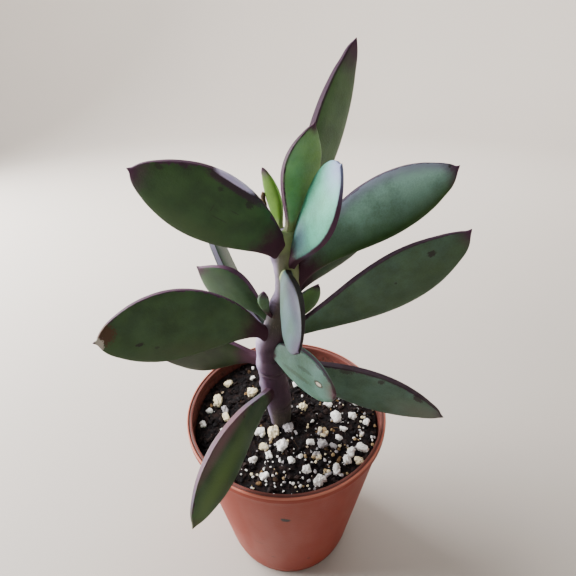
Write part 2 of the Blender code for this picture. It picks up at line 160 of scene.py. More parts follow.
# The stem's blunt end: its share of the radius, and its height above the top in mm
STEM_END = [(0.95, 0.4), (0.86, 0.8), (0.70, 1.2), (0.45, 1.5), (0.15, 1.7)]
# Heights in mm between which its skin changes, and the height and half length of two patches.
# The bloom on the side towards the light, and on the bend, is a painted highlight.
NEW_SKIN_FROM = (144, 154)
ALL_NEW_FROM = (165, 171)
OLD_SKIN_TO = (84, 100)
MORE_BLOOM_HIGHLIGHT_FROM = (100, 125)
CORKY_KNOB = (139, 7)
BEND_HIGHLIGHT = (127, 4)

# Blades
BLADE_STATIONS = 120
STALK_RADIUS = 2.2 * MM
EDGE_SQUARENESS = 0.6
FACE_FLATNESS = 0.8
CAD_SIDES = 8
TIP_LENGTH = 0.02
TIP_REACH = 0.065
TIP_SLOPE = 0.8
HOOK_LENGTH = 0.08
STALK_FADE = 2
FLARE_FADE = 7
ROUND_FADE = 5
FACE_WAVE = 0.07
FACE_WAVE_SIZE = 7 * MM
MARGIN_WAVE = 0.10 * MM
MARGIN_WAVE_SIZE = 6 * MM
THINNEST = 0.08 * MM
BLADE_HALF_THICKNESS = 0.55 * MM
TIP_HOOKS = {"leaf_upper_right": 1.3 * MM, "leaf_mid_right": 1.5 * MM, "leaf_small_left": 0.8 * MM}
LEAF_THICKNESS = 4.5
SECTION_ANGLES = [0, 8, 15, 20, 22.5, 25, 29, 34, 40, 47, 55, 64, 72, 81]


class Leaf:
    """One leaf. Lengths are in mm and angles in degrees.

    height    of the leaf's joint above the pot's base
    heading   the way it leaves the stem, seen from above, anticlockwise from +X
    sweep     how far the heading turns by the tip
    rise      the stalk's slope above level
    lift      how far the slope changes by the tip
    arch      a bow between stalk and tip, added to the lift
    roll      the blade's turn about its own length; at 0 it stands on edge
    twist     how far the roll changes by the tip
    widest    where along the leaf it is widest
    fullness  under 1 is rounded at the ends, 1 is drawn out
    joint     where round the stem it grows, as an angle; if not given, at its heading
    start     how far from the stem's axis the leaf starts, in mm
    stalk     the stalk's radius as a share of the usual one
    flare     how much deeper the stalk is where it meets the stem, in mm
    neck      the share of the length that is stalk alone, before the blade begins
    """

    def __init__(self, height, heading, rise, length, width, sweep=0, lift=0, arch=0,
                 roll=0, twist=0, widest=0.58, fullness=0.65, thickness=LEAF_THICKNESS,
                 joint=None, start=2.4, stalk=1.0, flare=1.0, neck=0):
        self.height = height * MM
        self.heading = heading
        self.rise = rise
        self.length = length * MM
        self.width = width * MM
        self.sweep = sweep
        self.lift = lift
        self.arch = arch
        self.roll = roll
        self.twist = twist
        self.widest = widest
        self.fullness = fullness
        self.thickness = thickness * MM
        self.joint = heading if joint is None else joint
        self.start = start * MM
        self.stalk = stalk * STALK_RADIUS
        self.flare = flare * MM
        self.neck = neck


BLADES = {
    "leaf_upper_left": Leaf(168, 197, 49, 58, 24.8, sweep=-1.5, lift=-14.5, arch=27, roll=8,
                            twist=5, widest=0.56, fullness=0.64, joint=232, start=1.8,
                            flare=2.0),
    "leaf_back_left": Leaf(127.5, 138, 36, 65.5, 20, sweep=-2, lift=41, arch=-3, roll=45,
                           widest=0.58, fullness=0.7, joint=105, start=2.6),
    "leaf_mid_left": Leaf(130.5, 199, 43, 68.5, 26.3, sweep=23.5, lift=-30.5, arch=37.5,
                          roll=-4.5, twist=-2.5, widest=0.58, fullness=0.62, joint=236,
                          flare=1.4, neck=0.07),
    "leaf_small_left": Leaf(136, 176, 48, 37, 20.5, sweep=-2.5, lift=-17.5, arch=-3.5, roll=6,
                            twist=24, widest=0.7, fullness=0.88, joint=155, flare=0.3),
    "leaf_top": Leaf(167, 61.5, 46.5, 79.5, 21, sweep=-14, lift=16, arch=1, roll=2, twist=-1.5,
                     widest=0.56, fullness=0.73, start=1.6),
    "leaf_top_young": Leaf(175, 15, 82.5, 37.5, 15.2, lift=-12.5, roll=-21.5, widest=0.63,
                           fullness=0.88, thickness=3.4, joint=-20, start=1.4, stalk=0.6,
                           flare=0.5),
    "leaf_top_front": Leaf(163.5, -42.2, 56.3, 45.2, 22.5, sweep=-6.5, lift=8.5, arch=-7, roll=29.5,
                           twist=3, widest=0.67, fullness=0.56, start=1.9),
    "leaf_upper_right": Leaf(152.5, 14.5, 59, 75.5, 22.9, sweep=-1.5, lift=-36.5, arch=58,
                             roll=12, widest=0.62, fullness=0.66, start=2.0),
    "leaf_back_right": Leaf(147.2, 43, 29, 60, 21, sweep=-6.5, lift=-6, arch=3.5, roll=8.5,
                            twist=2.5, widest=0.63, fullness=0.72, joint=42, start=2.0,
                            flare=0.4),
    "leaf_mid_right": Leaf(128.5, -6, 27.5, 83, 23.7, lift=16.5, arch=1.5, roll=-13, twist=4.5,
                           widest=0.65, fullness=0.7),
    "leaf_front": Leaf(159, -88, 10.5, 42, 16.6, sweep=4.5, lift=-26, arch=3.5, roll=18,
                       twist=-2, widest=0.7, fullness=0.52, thickness=4.2, joint=-100,
                       start=2.0),
    "leaf_low_front": Leaf(123.5, -45, 3.5, 36.5, 18.5, sweep=-13, lift=8, arch=28, roll=4,
                           twist=-4.5, widest=0.56, fullness=0.49, thickness=5.0),
    "leaf_low_right": Leaf(114, -12.5, -7.5, 72.5, 23.6, sweep=-3.5, lift=-8.5, arch=6.5,
                           roll=-9, twist=-1.5, widest=0.58, fullness=0.69),
    "leaf_low_left": Leaf(114.5, 155, 6, 51, 22, sweep=21.5, lift=-29, arch=5, roll=3.5,
                          twist=-1.5, widest=0.65, fullness=0.73, joint=165),
    "leaf_over_rim": Leaf(101, -116, 18, 64, 21.2, lift=-47.5, arch=6, roll=-4, twist=-12.5,
                          widest=0.64, fullness=0.71),
}
YOUNG_GROWTH = {
    "leaf_young": Leaf(174.5, 152, 89, 23, 5.7, sweep=3.5, lift=-26, arch=2, roll=8.5,
                       widest=0.57, fullness=0.69, thickness=2.4, joint=145, start=2.5,
                       stalk=0.5, flare=0.4),
    "shoot_left": Leaf(140, 200, 47, 13.6, 4.2, lift=57.5, widest=0.72, fullness=0.64,
                       thickness=3.4, joint=222, start=3.6, stalk=0.42, flare=0),
    "shoot_right": Leaf(134.5, 10, 40, 21, 10.5, sweep=3.5, lift=20, roll=-17, widest=0.6,
                        fullness=0.75, thickness=3.0, joint=20, start=3.4, stalk=0.75,
                        flare=0.2),
}
ALL_LEAVES = {**BLADES, **YOUNG_GROWTH}


@dataclass
class Skin:
    """How one leaf is coloured. Shares go from 0 to 1 and lengths are in mm.

    slot       its kind; a young_leaf gets more subsurface scattering
    fresh      from deep green to the yellow green of new growth
    olive      from green to brown olive
    dim        how bright the green is, 1 for most leaves; less paints shade, more paints light
    haze       how much pale waxy bloom lies on the faces; more of it paints light on lit leaves
    rise       how much more of it lies towards the upper margin, painted light on the lit upper side
    slate      the bloom's tint, from grey green to dark grey blue, a darker copy that paints shade
    mint       the bloom's tint, from grey green to clear mint, painted light on the leaf facing the window
    bare       how far out from the stem the bloom stays thin, painted shade where another leaf shades it
    veil       how far a lavender veil, a painted highlight, reaches in from the upper margin
    band       how much of the squared edge is purple, up to 0.5
    margin     how far the purple reaches on over the faces
    upper      the strength of the upper margin's purple
    lower      the strength of the lower margin's purple
    tip        how far the purple reaches back from the tip
    stalk      how far the stalk's dark red reaches out from the stem's middle
    facet      how pale the squared edge is, a painted highlight where the edge catches the light
    spots      how many dark spots it has
    blotch     how far the purple margin breaks up into blotches
    """

    slot: str = "leaf"
    fresh: float = 0.0
    olive: float = 0.0
    dim: float = 1.0
    haze: float = 0.05
    rise: float = 0.0
    slate: float = 0.0
    mint: float = 0.0
    bare: float = 0.0
    veil: float = 0.0
    band: float = 0.3
    margin: float = 0.0
    upper: float = 1.0
    lower: float = 0.4
    tip: float = 8.0
    stalk: float = 13.0
    facet: float = 0.0
    spots: float = 0.3
    blotch: float = 0.3


# Each leaf's colours: dim, haze, rise, slate, mint, bare, veil and facet paint the light and shade
# on it
SKINS = {
    "leaf_upper_left": Skin(haze=0.02, band=0.5, margin=1.0, lower=0.3, tip=8, stalk=14,
                            spots=0.6, blotch=0.5),
    "leaf_back_left": Skin(haze=0.55, slate=1.0, band=0.0, lower=0.2, stalk=6, facet=1.0),
    "leaf_mid_left": Skin(olive=0.26, dim=1.12, haze=0.04, band=0.5, margin=0.5, lower=0.15, tip=4,
                          stalk=19, spots=0.6),
    "leaf_small_left": Skin(olive=0.12, dim=0.85, haze=0.05, band=0.5, margin=0.4, lower=0.3,
                            tip=6, stalk=4),
    "leaf_top": Skin(fresh=0.12, dim=0.9, haze=0.05, band=0.46, margin=0.3, lower=0.8, tip=17,
                     stalk=6),
    "leaf_top_young": Skin("young_leaf", fresh=0.74, olive=0.06, dim=1.1, haze=0.22, band=0.46,
                           margin=0.3, lower=0.45, tip=5, stalk=7, spots=0),
    "leaf_top_front": Skin("bloomed_leaf", haze=0.95, mint=1.0, band=0.5, margin=0.45, upper=0.1,
                           lower=1.0, tip=5, stalk=13, spots=0, blotch=0.06),
    "leaf_upper_right": Skin("bloomed_leaf", haze=0.5, rise=0.6, bare=40, veil=5.0, band=0.5,
                             margin=0.3, upper=0.8, lower=0.2, tip=9, stalk=19, spots=0.3,
                             blotch=0.15),
    "leaf_back_right": Skin(olive=0.3, haze=0.05, band=0.4, margin=0.8, lower=0.8, stalk=18),
    "leaf_mid_right": Skin(olive=0.3, haze=0.11, rise=0.04, slate=0.2, band=0.46, margin=0.4,
                           upper=0.9, lower=0.3, tip=7, stalk=12, spots=0.8, blotch=0.12),
    "leaf_front": Skin("bloomed_leaf", haze=0.85, slate=0.92, band=0.0, upper=0.0, lower=0.1, tip=3,
                       stalk=6, spots=0.2),
    "leaf_low_front": Skin("bloomed_leaf", haze=0.55, slate=0.62, band=0.30, margin=0.25,
                           upper=0.8, lower=0.3, tip=3, stalk=5, spots=1.0, blotch=0.3),
    "leaf_low_right": Skin(olive=0.42, haze=0.24, slate=0.35, band=0.42, margin=1.1,
                           upper=0.8, lower=0.3, tip=7, stalk=6, spots=1.0, blotch=0.35),
    "leaf_low_left": Skin(olive=0.3, dim=0.45, haze=0.0, band=0.46, margin=0.2, lower=0.3,
                          tip=5, stalk=16),
    "leaf_over_rim": Skin(olive=0.3, dim=1.05, haze=0.05, band=0.34, margin=0.4, lower=0.5, tip=5,
                          stalk=12, facet=0.22, blotch=0.4),
    "leaf_young": Skin("young_leaf", fresh=0.85, dim=0.58, haze=0.0, band=0.0, upper=0.0,
                       lower=0.0, tip=5, stalk=6, facet=0.4, spots=0),
    "shoot_left": Skin("young_leaf", fresh=0.12, olive=0.4, haze=0.15, band=0.1, lower=0.3, tip=3,
                       stalk=8, spots=0.3),
    "shoot_right": Skin("young_leaf", fresh=0.35, haze=0.1, band=0.1, lower=0.2, tip=4, stalk=4,
                        facet=0.8, spots=0),
}


def color_setting(name, description, default):
    """A colour that the user can change."""
    return bpy.props.FloatVectorProperty(name=name, description=description, default=default,
                                         subtype="COLOR", min=0, max=1)


def length_setting(name, description, default):
    """A length that the user can change."""
    return bpy.props.FloatProperty(name=name, description=description, default=default,
                                   subtype="DISTANCE", unit="LENGTH")


def power_setting(name, description, default):
    """A light's power that the user can change."""
    return bpy.props.FloatProperty(name=name, description=description, default=default,
                                   unit="POWER")


def roughness_setting(default):
    """How rough a surface is."""
    return bpy.props.FloatProperty(name="Roughness", description="0 is a mirror, 1 is matt",
                                   default=default, subtype="FACTOR", min=0, max=1)


class PotSettings(bpy.types.PropertyGroup):
    """The finish of the pot."""
    color: color_setting("Plastic", "Colour of the pot's plastic", (0.26, 0.031, 0.0135))
    worn: color_setting("Worn plastic", "Colour along scuffs and edges", (0.60, 0.24, 0.17))
    roughness: roughness_setting(0.42)
    corner: length_setting("Corner rounding", "Radius of the lip's small corners", 0.28 * MM)


class SoilSettings(bpy.types.PropertyGroup):
    """The finish of the soil and of what lies in it."""
    color: color_setting("Damp soil", "Colour of the damp soil", (0.0050, 0.0034, 0.0044))
    dry: color_setting("Dry crumbs", "Colour of the driest crumbs", (0.026, 0.015, 0.013))
    relief: length_setting("Relief", "Depth of the crumbs' relief", 1.0 * MM)


class StemSettings(bpy.types.PropertyGroup):
    """The finish of the stem."""
    purple: color_setting("Purple", "Main colour of the stem", (0.062, 0.030, 0.058))
    # The bloom colour is painted only on the side towards the light, as a highlight
    bloom: color_setting("Bloom", "Pale waxy bloom on the stem", (0.34, 0.27, 0.42))
    olive: color_setting("Old skin", "Grey green skin near the soil", (0.050, 0.047, 0.034))
    green: color_setting("New skin", "Pale green of the top", (0.21, 0.27, 0.11))


class LeafSettings(bpy.types.PropertyGroup):
    """The colours that all leaves share."""
    deep: color_setting("Deep green", "Green of an old leaf", (0.028, 0.072, 0.0175))
    fresh: color_setting("Fresh green", "Green of new growth", (0.175, 0.36, 0.034))
    olive: color_setting("Olive", "Brown olive of some old leaves", (0.038, 0.034, 0.012))
    # Bloom colours are partly the wax's own, partly painted light: mint paints a lit leaf, grey
    # paints shade
    bloom: color_setting("Bloom", "Pale waxy bloom on the faces", (0.34, 0.64, 0.56))
    mint: color_setting("Mint bloom", "Bloom of the leaf that faces the window",
                        (0.095, 0.40, 0.285))
    slate: color_setting("Grey bloom", "Duller bloom of some leaves", (0.060, 0.090, 0.108))
    purple: color_setting("Margin", "Purple of the margins and tips", (0.072, 0.026, 0.062))
    maroon: color_setting("Stalk", "Dark red of the stalks", (0.045, 0.012, 0.026))
    neck: color_setting("Young stalk", "Pale green of the youngest stalks", (0.21, 0.27, 0.10))
    # Edge and veil are painted highlights on the squared edges and beside upper margins
    edge: color_setting("Edge", "Lavender of the squared edge", (0.40, 0.36, 0.54))
    veil: color_setting("Veil", "Lavender blue beside some margins", (0.27, 0.28, 0.42))
    cream: color_setting("Young edge", "Pale edge of the youngest leaf", (0.42, 0.44, 0.20))
    roughness: roughness_setting(0.46)


class StageSettings(bpy.types.PropertyGroup):
    """The floor, the lights and the camera."""
    floor: color_setting("Floor", "Colour of the floor", (0.46, 0.42, 0.38))
    radius: length_setting("Floor radius", "Where the floor starts to curve up", 0.9)
    key: power_setting("Key light", "Power of the window-like light", 30.0)
    fill: power_setting("Fill light", "Power of the light from above", 2.2)
    back: power_setting("Backdrop light", "Power of the light on the backdrop", 26.0)
    sky: bpy.props.FloatProperty(
        name="Room light", description="Strength of the light from all round", default=0.05)


def smooth_between(points, t):
    """A smooth value through a list of tuples, with t from 0 to 1 along the list."""
    last = len(points) - 1
    place = min(max(t * last, 0), last - 1e-9)
    i = int(place)
    u = place - i
    p0 = points[max(i - 1, 0)]
    p1 = points[i]
    p2 = points[i + 1]
    p3 = points[min(i + 2, last)]
    return [0.5 * (2 * b + (c - a) * u + (2 * a - 5 * b + 4 * c - d) * u ** 2
                   + (3 * b - a - 3 * c + d) * u ** 3)
            for a, b, c, d in zip(p0, p1, p2, p3)]


def stem_at(height):
    """The stem's axis and radius at a height."""
    low, high = 0.0, 1.0
    for _ in range(40):
        middle = (low + high) / 2
        if smooth_between(STEM_PATH, middle)[0] * MM < height:
            low = middle
        else:
            high = middle
    z, x, y, radius = smooth_between(STEM_PATH, low)
    return Vector((x * MM, y * MM, z * MM)), radius * MM


def smoothstep(low, high, value):
    """0 below low, 1 above high, and smooth between them."""
    t = np.clip((value - low) / (high - low), 0, 1)
    return t * t * (3 - 2 * t)


def bump_at(center, width, value):
    """A smooth hump of height 1 about a value."""
    return np.exp(-((value - center) / width) ** 2)


def rough(x, y, z, scale):
    """Smooth noise from -1 to 1 at a point in metres, with features of a size."""
    return noise.noise(Vector((x, y, z)) / scale)


# Colours and shader nodes

def blend_color(a, b, share):
    """A plain colour between two."""
    return tuple(x + (y - x) * share for x, y in zip(a, b))


def darker(color, share):
    """A share of a plain colour."""
    return tuple(c * share for c in color)


def feed(tree, socket, value):
    """Links a socket to the output given, or sets it to the plain value given."""
    if isinstance(value, bpy.types.NodeSocket):
        tree.links.new(value, socket)
    elif socket.type == "RGBA" and len(value) == 3:
        socket.default_value = (*value, 1)
    else:
        socket.default_value = value


def add(tree, kind, inputs=None, **settings):
    """Adds a shader node, with its settings, and feeds its inputs by name or number."""
    node = tree.nodes.new("ShaderNode" + kind)
    for name, value in settings.items():
        setattr(node, name, value)
    for key, value in (inputs or {}).items():
        feed(tree, node.inputs[key], value)
    return node


def calc(tree, operation, a, b=0.0, clamp=False):
    """One sum on two values."""
    return add(tree, "Math", {0: a, 1: b}, operation=operation, use_clamp=clamp).outputs[0]


def product(tree, first, *others):
    """Several values multiplied."""
    for other in others:
        first = calc(tree, "MULTIPLY", first, other)
    return first


def vector_calc(tree, operation, a, b):
    """One sum on two places or sizes."""
    return add(tree, "VectorMath", {0: a, 1: b}, operation=operation).outputs[0]


def length_of(tree, vector):
    """The length of a vector."""
    return add(tree, "VectorMath", {0: vector}, operation="LENGTH").outputs["Value"]


def place_in_mm(tree):
    """The place on a piece, in mm."""
    place = add(tree, "TexCoord").outputs["Object"]
    return add(tree, "VectorMath", {0: place, "Scale": 1 / MM}, operation="SCALE").outputs[0]


def mix(tree, factor, a, b, blend="MIX"):
    """Mixes two colours. The node has its first colour at number 6 and its second at 7."""
    first, second = 6, 7
    return add(tree, "Mix", {0: factor, first: a, second: b}, data_type="RGBA",
               blend_type=blend, clamp_factor=True).outputs[2]


def step(tree, value, low, high, start=0.0, end=1.0):
    """Goes smoothly from start at low to end at high."""
    return add(tree, "MapRange", {"Value": value, "From Min": low, "From Max": high,
                                  "To Min": start, "To Max": end},
               interpolation_type="SMOOTHSTEP").outputs[0]


def speckle(tree, place, scale, detail=2.0, roughness=0.5):
    """Noise from 0 to 1, with features of about 1 / scale."""
    return add(tree, "TexNoise", {"Vector": place, "Scale": scale, "Detail": detail,
                                  "Roughness": roughness}).outputs["Fac"]


def attribute(tree, name):
    """Reads a value that the mesh holds."""
    return add(tree, "Attribute", attribute_name=name)


def new_group(name, inputs, outputs):
    """A shader node group with named sockets, and its two end nodes."""
    group = bpy.data.node_groups.new(name, "ShaderNodeTree")
    kinds = {"color": "NodeSocketColor", "value": "NodeSocketFloat", "vector": "NodeSocketVector"}
    for direction, sockets in (("INPUT", inputs), ("OUTPUT", outputs)):
        for socket_name, kind in sockets.items():
            group.interface.new_socket(socket_name, in_out=direction, socket_type=kinds[kind])
    into = group.nodes.new("NodeGroupInput").outputs
    out = group.nodes.new("NodeGroupOutput").inputs
    return group, into, out


def place_group(tree, name, values):
    """Places a shared effect, with its own values. It is built at its first use."""
    node = tree.nodes.new("ShaderNodeGroup")
    node.node_tree = bpy.data.node_groups.get(name) or GROUP_MAKERS[name]()
    for key, value in values.items():
        feed(tree, node.inputs[key], value)
    return node.outputs


def marked(tree, color, values, tint, share):
    """A colour with one soft mark over it."""
    mask = place_group(tree, "Mark", values)["Mask"]
    return mix(tree, product(tree, mask, share), color, tint)


def new_material(name, **plain):
    """A material with a Principled shader, whose plain values are given by name."""
    material = bpy.data.materials.new(name)
    material.use_nodes = True
    tree = material.node_tree
    shader = tree.nodes["Principled BSDF"]
    for key, value in plain.items():
        shader.inputs[key.replace("_", " ")].default_value = value
    return material, tree, shader


def link_bump(tree, shader, height, distance):
    """Feeds a height to the shader's normal."""
    node = add(tree, "Bump", {"Height": height, "Distance": distance, "Strength": 1.0})
    tree.links.new(node.outputs[0], shader.inputs["Normal"])


def mark_group():
    """A soft ragged mark at a place, as a mask. Place, center and size are in mm."""
    group, into, out = new_group(
        "Mark", {"Place": "vector", "Center": "vector", "Size": "vector", "Ragged": "value",
                 "Soft": "value"},
        {"Mask": "value"})
    grain = add(group, "TexNoise", {"Vector": into["Place"], "Scale": 1.7, "Detail": 2.0})
    off = vector_calc(group, "SUBTRACT", into["Place"], into["Center"])
    share = vector_calc(group, "DIVIDE", off, into["Size"])
    wobble = calc(group, "MULTIPLY", calc(group, "SUBTRACT", grain.outputs["Fac"], 0.5),
                  into["Ragged"])
    reach = calc(group, "ADD", length_of(group, share), wobble)
    full = calc(group, "SUBTRACT", 1.0, into["Soft"])
    group.links.new(step(group, reach, full, 1.15, 1.0, 0.0), out["Mask"])
    return group


def specks_group():
    """Small dark specks that lie far apart, as a mask. Place is in mm."""
    group, into, out = new_group("Specks", {"Place": "vector", "Share": "value", "Size": "value"},
                                 {"Mask": "value"})
    cells = add(group, "TexVoronoi", {"Vector": into["Place"], "Scale": 0.22,
                                      "Randomness": 1.0})
    lottery = add(group, "SeparateColor", {"Color": cells.outputs["Color"]})
    chosen = calc(group, "LESS_THAN", lottery.outputs["Red"], into["Share"])
    radius = calc(group, "MULTIPLY", calc(group, "ADD", lottery.outputs["Green"], 0.4),
                  into["Size"])
    grain = calc(group, "MULTIPLY", speckle(group, into["Place"], 2.2), 0.12)
    near = calc(group, "SUBTRACT", calc(group, "ADD", cells.outputs["Distance"], grain), radius)
    spot = step(group, near, 0.0, 0.05, 1.0, 0.0)
    group.links.new(calc(group, "MULTIPLY", chosen, spot), out["Mask"])
    return group


def bloom_group():
    """Pale wax that lies in patches and fine stipples on a skin. Place is in mm."""
    group, into, out = new_group(
        "Waxy bloom",
        {"Place": "vector", "Skin": "color", "Bloom": "color", "Amount": "value"},
        {"Color": "color", "Height": "value"})
    patches = speckle(group, into["Place"], 0.11, 3.0, 0.55)
    stipple = speckle(group, into["Place"], 1.6, 3.0, 0.6)
    uneven = calc(group, "ADD", step(group, patches, 0.3, 0.7, 0.68, 1.2),
                  step(group, stipple, 0.35, 0.65, -0.10, 0.10))
    amount = calc(group, "MULTIPLY", into["Amount"], uneven, clamp=True)
    group.links.new(mix(group, amount, into["Skin"], into["Bloom"]), out["Color"])
    group.links.new(calc(group, "ADD", calc(group, "MULTIPLY", patches, 0.5), stipple),
                    out["Height"])
    return group


def mottled_green(group, into, place, across):
    """The leaf's green in coarse and fine patches, lighter towards the lower margin as painted
    light.
    """
    coarse = speckle(group, place, 0.13, 3.0, 0.5)
    fine = speckle(group, place, 0.9, 4.0, 0.6)
    dark = mix(group, 1.0, into["Green"], (0.72, 0.74, 0.74), "MULTIPLY")
    light = mix(group, 1.0, into["Green"], (1.30, 1.28, 1.30), "MULTIPLY")
    green = mix(group, step(group, coarse, 0.3, 0.7), dark, light)
    green = mix(group, step(group, fine, 0.3, 0.7, 0.0, 0.22), green, light)
    return mix(group, step(group, across, -1.0, 0.2, 0.45, 0.0), green, light)


def bloom_with_painted_light(group, into, place, across, from_stem, green):
    """The green under its bloom, which thickens towards the upper margin as painted light, and off
    the stem, so that it stays thin near the stem as painted shade.
    """
    risen = calc(group, "ADD", into["Haze"], product(group, into["Rise"], across))
    grown = step(group, calc(group, "SUBTRACT", from_stem, into["Bare"]), -22.0, 2.0, 0.25, 1.0)
    return place_group(group, "Waxy bloom", {
        "Place": place, "Skin": green, "Bloom": into["Bloom"],
        "Amount": product(group, risen, grown)})


def veil_mask(group, into, across, inward, blotches):
    """Where a lavender veil lies beside the upper margin, as a painted highlight."""
    veil = step(group, calc(group, "ADD", inward, product(group, blotches, 2.0)), 0.0,
                calc(group, "MAXIMUM", into["Veil"], 0.01), 0.85, 0.0)
    return product(group, veil, step(group, into["Veil"], 0.0, 1.0),
                   step(group, across, 0.0, 0.3))


def margin_mask(group, into, across, inward, through, blotches, on_edge):
    """Where the margins are purple: a stripe on the squared edge, and a rim beside it."""
    stripe = step(group, calc(group, "SUBTRACT", through, into["Band"]), -0.10, 0.06, 1.0, 0.0)
    reach = calc(group, "ADD", inward, product(group, blotches, into["Blotch"], 9.0))
    rim = step(group, reach, 0.0, calc(group, "MAXIMUM", into["Margin"], 0.02), 1.0, 0.0)
    rim = product(group, rim, step(group, through, 0.40, 0.50))
    upper = step(group, across, -0.1, 0.1, 0.0, 1.0)
    lower = calc(group, "SUBTRACT", 1.0, upper)
    strength = calc(group, "ADD", product(group, upper, into["Upper"]),
                    product(group, lower, into["Lower"]))
    return product(group, calc(group, "MAXIMUM", rim, product(group, on_edge, stripe)), strength)


def ragged_end(group, distance, blotches, ragged, full, reach):
    """Where one end of a leaf is coloured: fully up to a share of its reach, then less."""
    wandering = calc(group, "ADD", distance, product(group, blotches, ragged))
    return step(group, wandering, product(group, reach, full), reach, 1.0, 0.0)


SKIN_COLORS = ("Green", "Bloom", "Purple", "Stalk color", "Edge", "Veil color")
SKIN_VALUES = ("Haze", "Rise", "Bare", "Veil", "Band", "Margin", "Upper", "Lower", "Tip", "Stalk",
               "Facet", "Spots", "Blotch")


def leaf_skin_group():
    """The skin of every leaf: mottled green, bloom, purple margin, tip and stalk, pale edge. Its
    bloom, veil, pale edge and lighter lower side paint light and shade as well.
    """
    group, into, out = new_group(
        "Leaf skin",
        {**dict.fromkeys(SKIN_COLORS, "color"), **dict.fromkeys((*SKIN_VALUES, "Seed"), "value")},
        {"Color": "color", "Purple": "value", "Height": "value"})
    on_leaf = attribute(group, "leaf_place").outputs["Vector"]
    seed = add(group, "CombineXYZ", {axis: into["Seed"] for axis in range(3)}).outputs[0]
    place = vector_calc(group, "ADD", on_leaf, seed)
    from_stem = add(group, "SeparateXYZ", {0: on_leaf}).outputs[0]
    edge = add(group, "SeparateXYZ", {0: attribute(group, "leaf_edge").outputs["Vector"]})
    inward, to_tip, through = edge.outputs
    across = attribute(group, "leaf_across").outputs["Fac"]
    blotches = calc(group, "SUBTRACT", speckle(group, place, 0.35, 3.0, 0.65), 0.5)
    on_edge = step(group, calc(group, "ABSOLUTE", across), 0.95, 0.98)

    green = mottled_green(group, into, place, across)
    bloomed = bloom_with_painted_light(group, into, place, across, from_stem, green)
    veil = veil_mask(group, into, across, inward, blotches)
    color = mix(group, veil, bloomed["Color"], into["Veil color"])
    margin = margin_mask(group, into, across, inward, through, blotches, on_edge)
    tip = ragged_end(group, to_tip, blotches, 4.0, 0.1, into["Tip"])
    purple = calc(group, "MAXIMUM", margin, tip)
    color = mix(group, purple, color, into["Purple"])
    stalk = ragged_end(group, from_stem, blotches, 6.0, 0.42, into["Stalk"])
    color = mix(group, stalk, color, into["Stalk color"])

    # The pale line along the middle of the squared edge, a painted highlight, which fades at both
    # ends
    middle = step(group, through, 0.34, 0.46, 1.0, 0.0)
    pale = product(group, on_edge, middle, into["Facet"], step(group, to_tip, 2.0, 9.0),
                   step(group, stalk, 0.2, 0.9, 1.0, 0.2))
    color = mix(group, pale, color, into["Edge"])

    specks = place_group(group, "Specks", {
        "Place": place, "Share": product(group, into["Spots"], 0.25), "Size": 0.14})["Mask"]
    color = mix(group, product(group, specks, 0.75), color, (0.016, 0.020, 0.018))
    height = calc(group, "SUBTRACT", bloomed["Height"], product(group, specks, 0.8))
    group.links.new(color, out["Color"])
    group.links.new(calc(group, "MAXIMUM", purple, stalk), out["Purple"])
    group.links.new(height, out["Height"])
    return group


GROUP_MAKERS = {"Mark": mark_group, "Specks": specks_group, "Waxy bloom": bloom_group,
                "Leaf skin": leaf_skin_group}


# Meshes

def new_piece(name, mesh, material, smooth_angle=40):
    """Puts a mesh in the scene as a piece that stands with the packed model."""
    mesh.materials.append(material)
    mesh.shade_smooth()
    if smooth_angle:
        mesh.set_sharp_from_angle(angle=math.radians(smooth_angle))
    obj = bpy.data.objects.new(name, mesh)
    bpy.context.scene.collection.objects.link(obj)
    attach(obj, BODY)
    return obj


def mesh_from_bmesh(name, bm):
    """Turns a bmesh into a mesh, with its faces pointing out."""
    bmesh.ops.recalc_face_normals(bm, faces=bm.faces)
    mesh = bpy.data.meshes.new(name)
    bm.to_mesh(mesh)
    bm.free()
    return mesh


def join_loops(bm, loops):
    """Fills the bands between loops of points."""
    for low, high in zip(loops, loops[1:]):
        for k in range(len(low)):
            j = (k + 1) % len(low)
            bm.faces.new((low[k], low[j], high[j], high[k]))


def mesh_from_rings(name, rings):
    """One closed skin over an array of rings: ring, point, xyz. Its two ends are fanned."""
    count, sides, _ = rings.shape
    points = np.concatenate([rings.reshape(-1, 3), rings[:1].mean(1), rings[-1:].mean(1)])
    first, last = count * sides, count * sides + 1
    i, k = np.meshgrid(np.arange(count - 1), np.arange(sides), indexing="ij")
    after = (k + 1) % sides
    quads = np.stack([i * sides + k, i * sides + after, (i + 1) * sides + after,
                      (i + 1) * sides + k], -1).reshape(-1, 4)
    top = (count - 1) * sides
    faces = quads.tolist()
    faces += [(first, (j + 1) % sides, j) for j in range(sides)]
    faces += [(last, top + j, top + (j + 1) % sides) for j in range(sides)]
    mesh = bpy.data.meshes.new(name)
    mesh.from_pydata(points.tolist(), [], faces)
    mesh.update()
    bm = bmesh.new()
    bm.from_mesh(mesh)
    bmesh.ops.recalc_face_normals(bm, faces=bm.faces)
    bm.to_mesh(mesh)
    bm.free()
    return mesh


def with_ends(values):
    """Adds the two end points' values, as the mean of the first and of the last ring."""
    flat = values.reshape(values.shape[0] * values.shape[1], -1)
    ends = [values[0].reshape(values.shape[1], -1).mean(0),
            values[-1].reshape(values.shape[1], -1).mean(0)]
    return np.concatenate([flat, ends])


def hold_values(mesh, name, values):
    """Stores a value or a vector for each point of a mesh."""
    values = np.asarray(values, np.float32)
    kind, key = ("FLOAT_VECTOR", "vector") if values.ndim == 2 and values.shape[1] == 3 else (
        "FLOAT", "value")
    mesh.attributes.new(name, kind, "POINT").data.foreach_set(key, values.ravel())


# Pot

def pot_wall_radius(z):
    """The outer radius of the tapered wall at a height."""
    under_band = RIM_RADIUS - RIM_BAND_STEP
    return FOOT_RADIUS + (under_band - FOOT_RADIUS) * z / (POT_HEIGHT - RIM_BAND_HEIGHT)


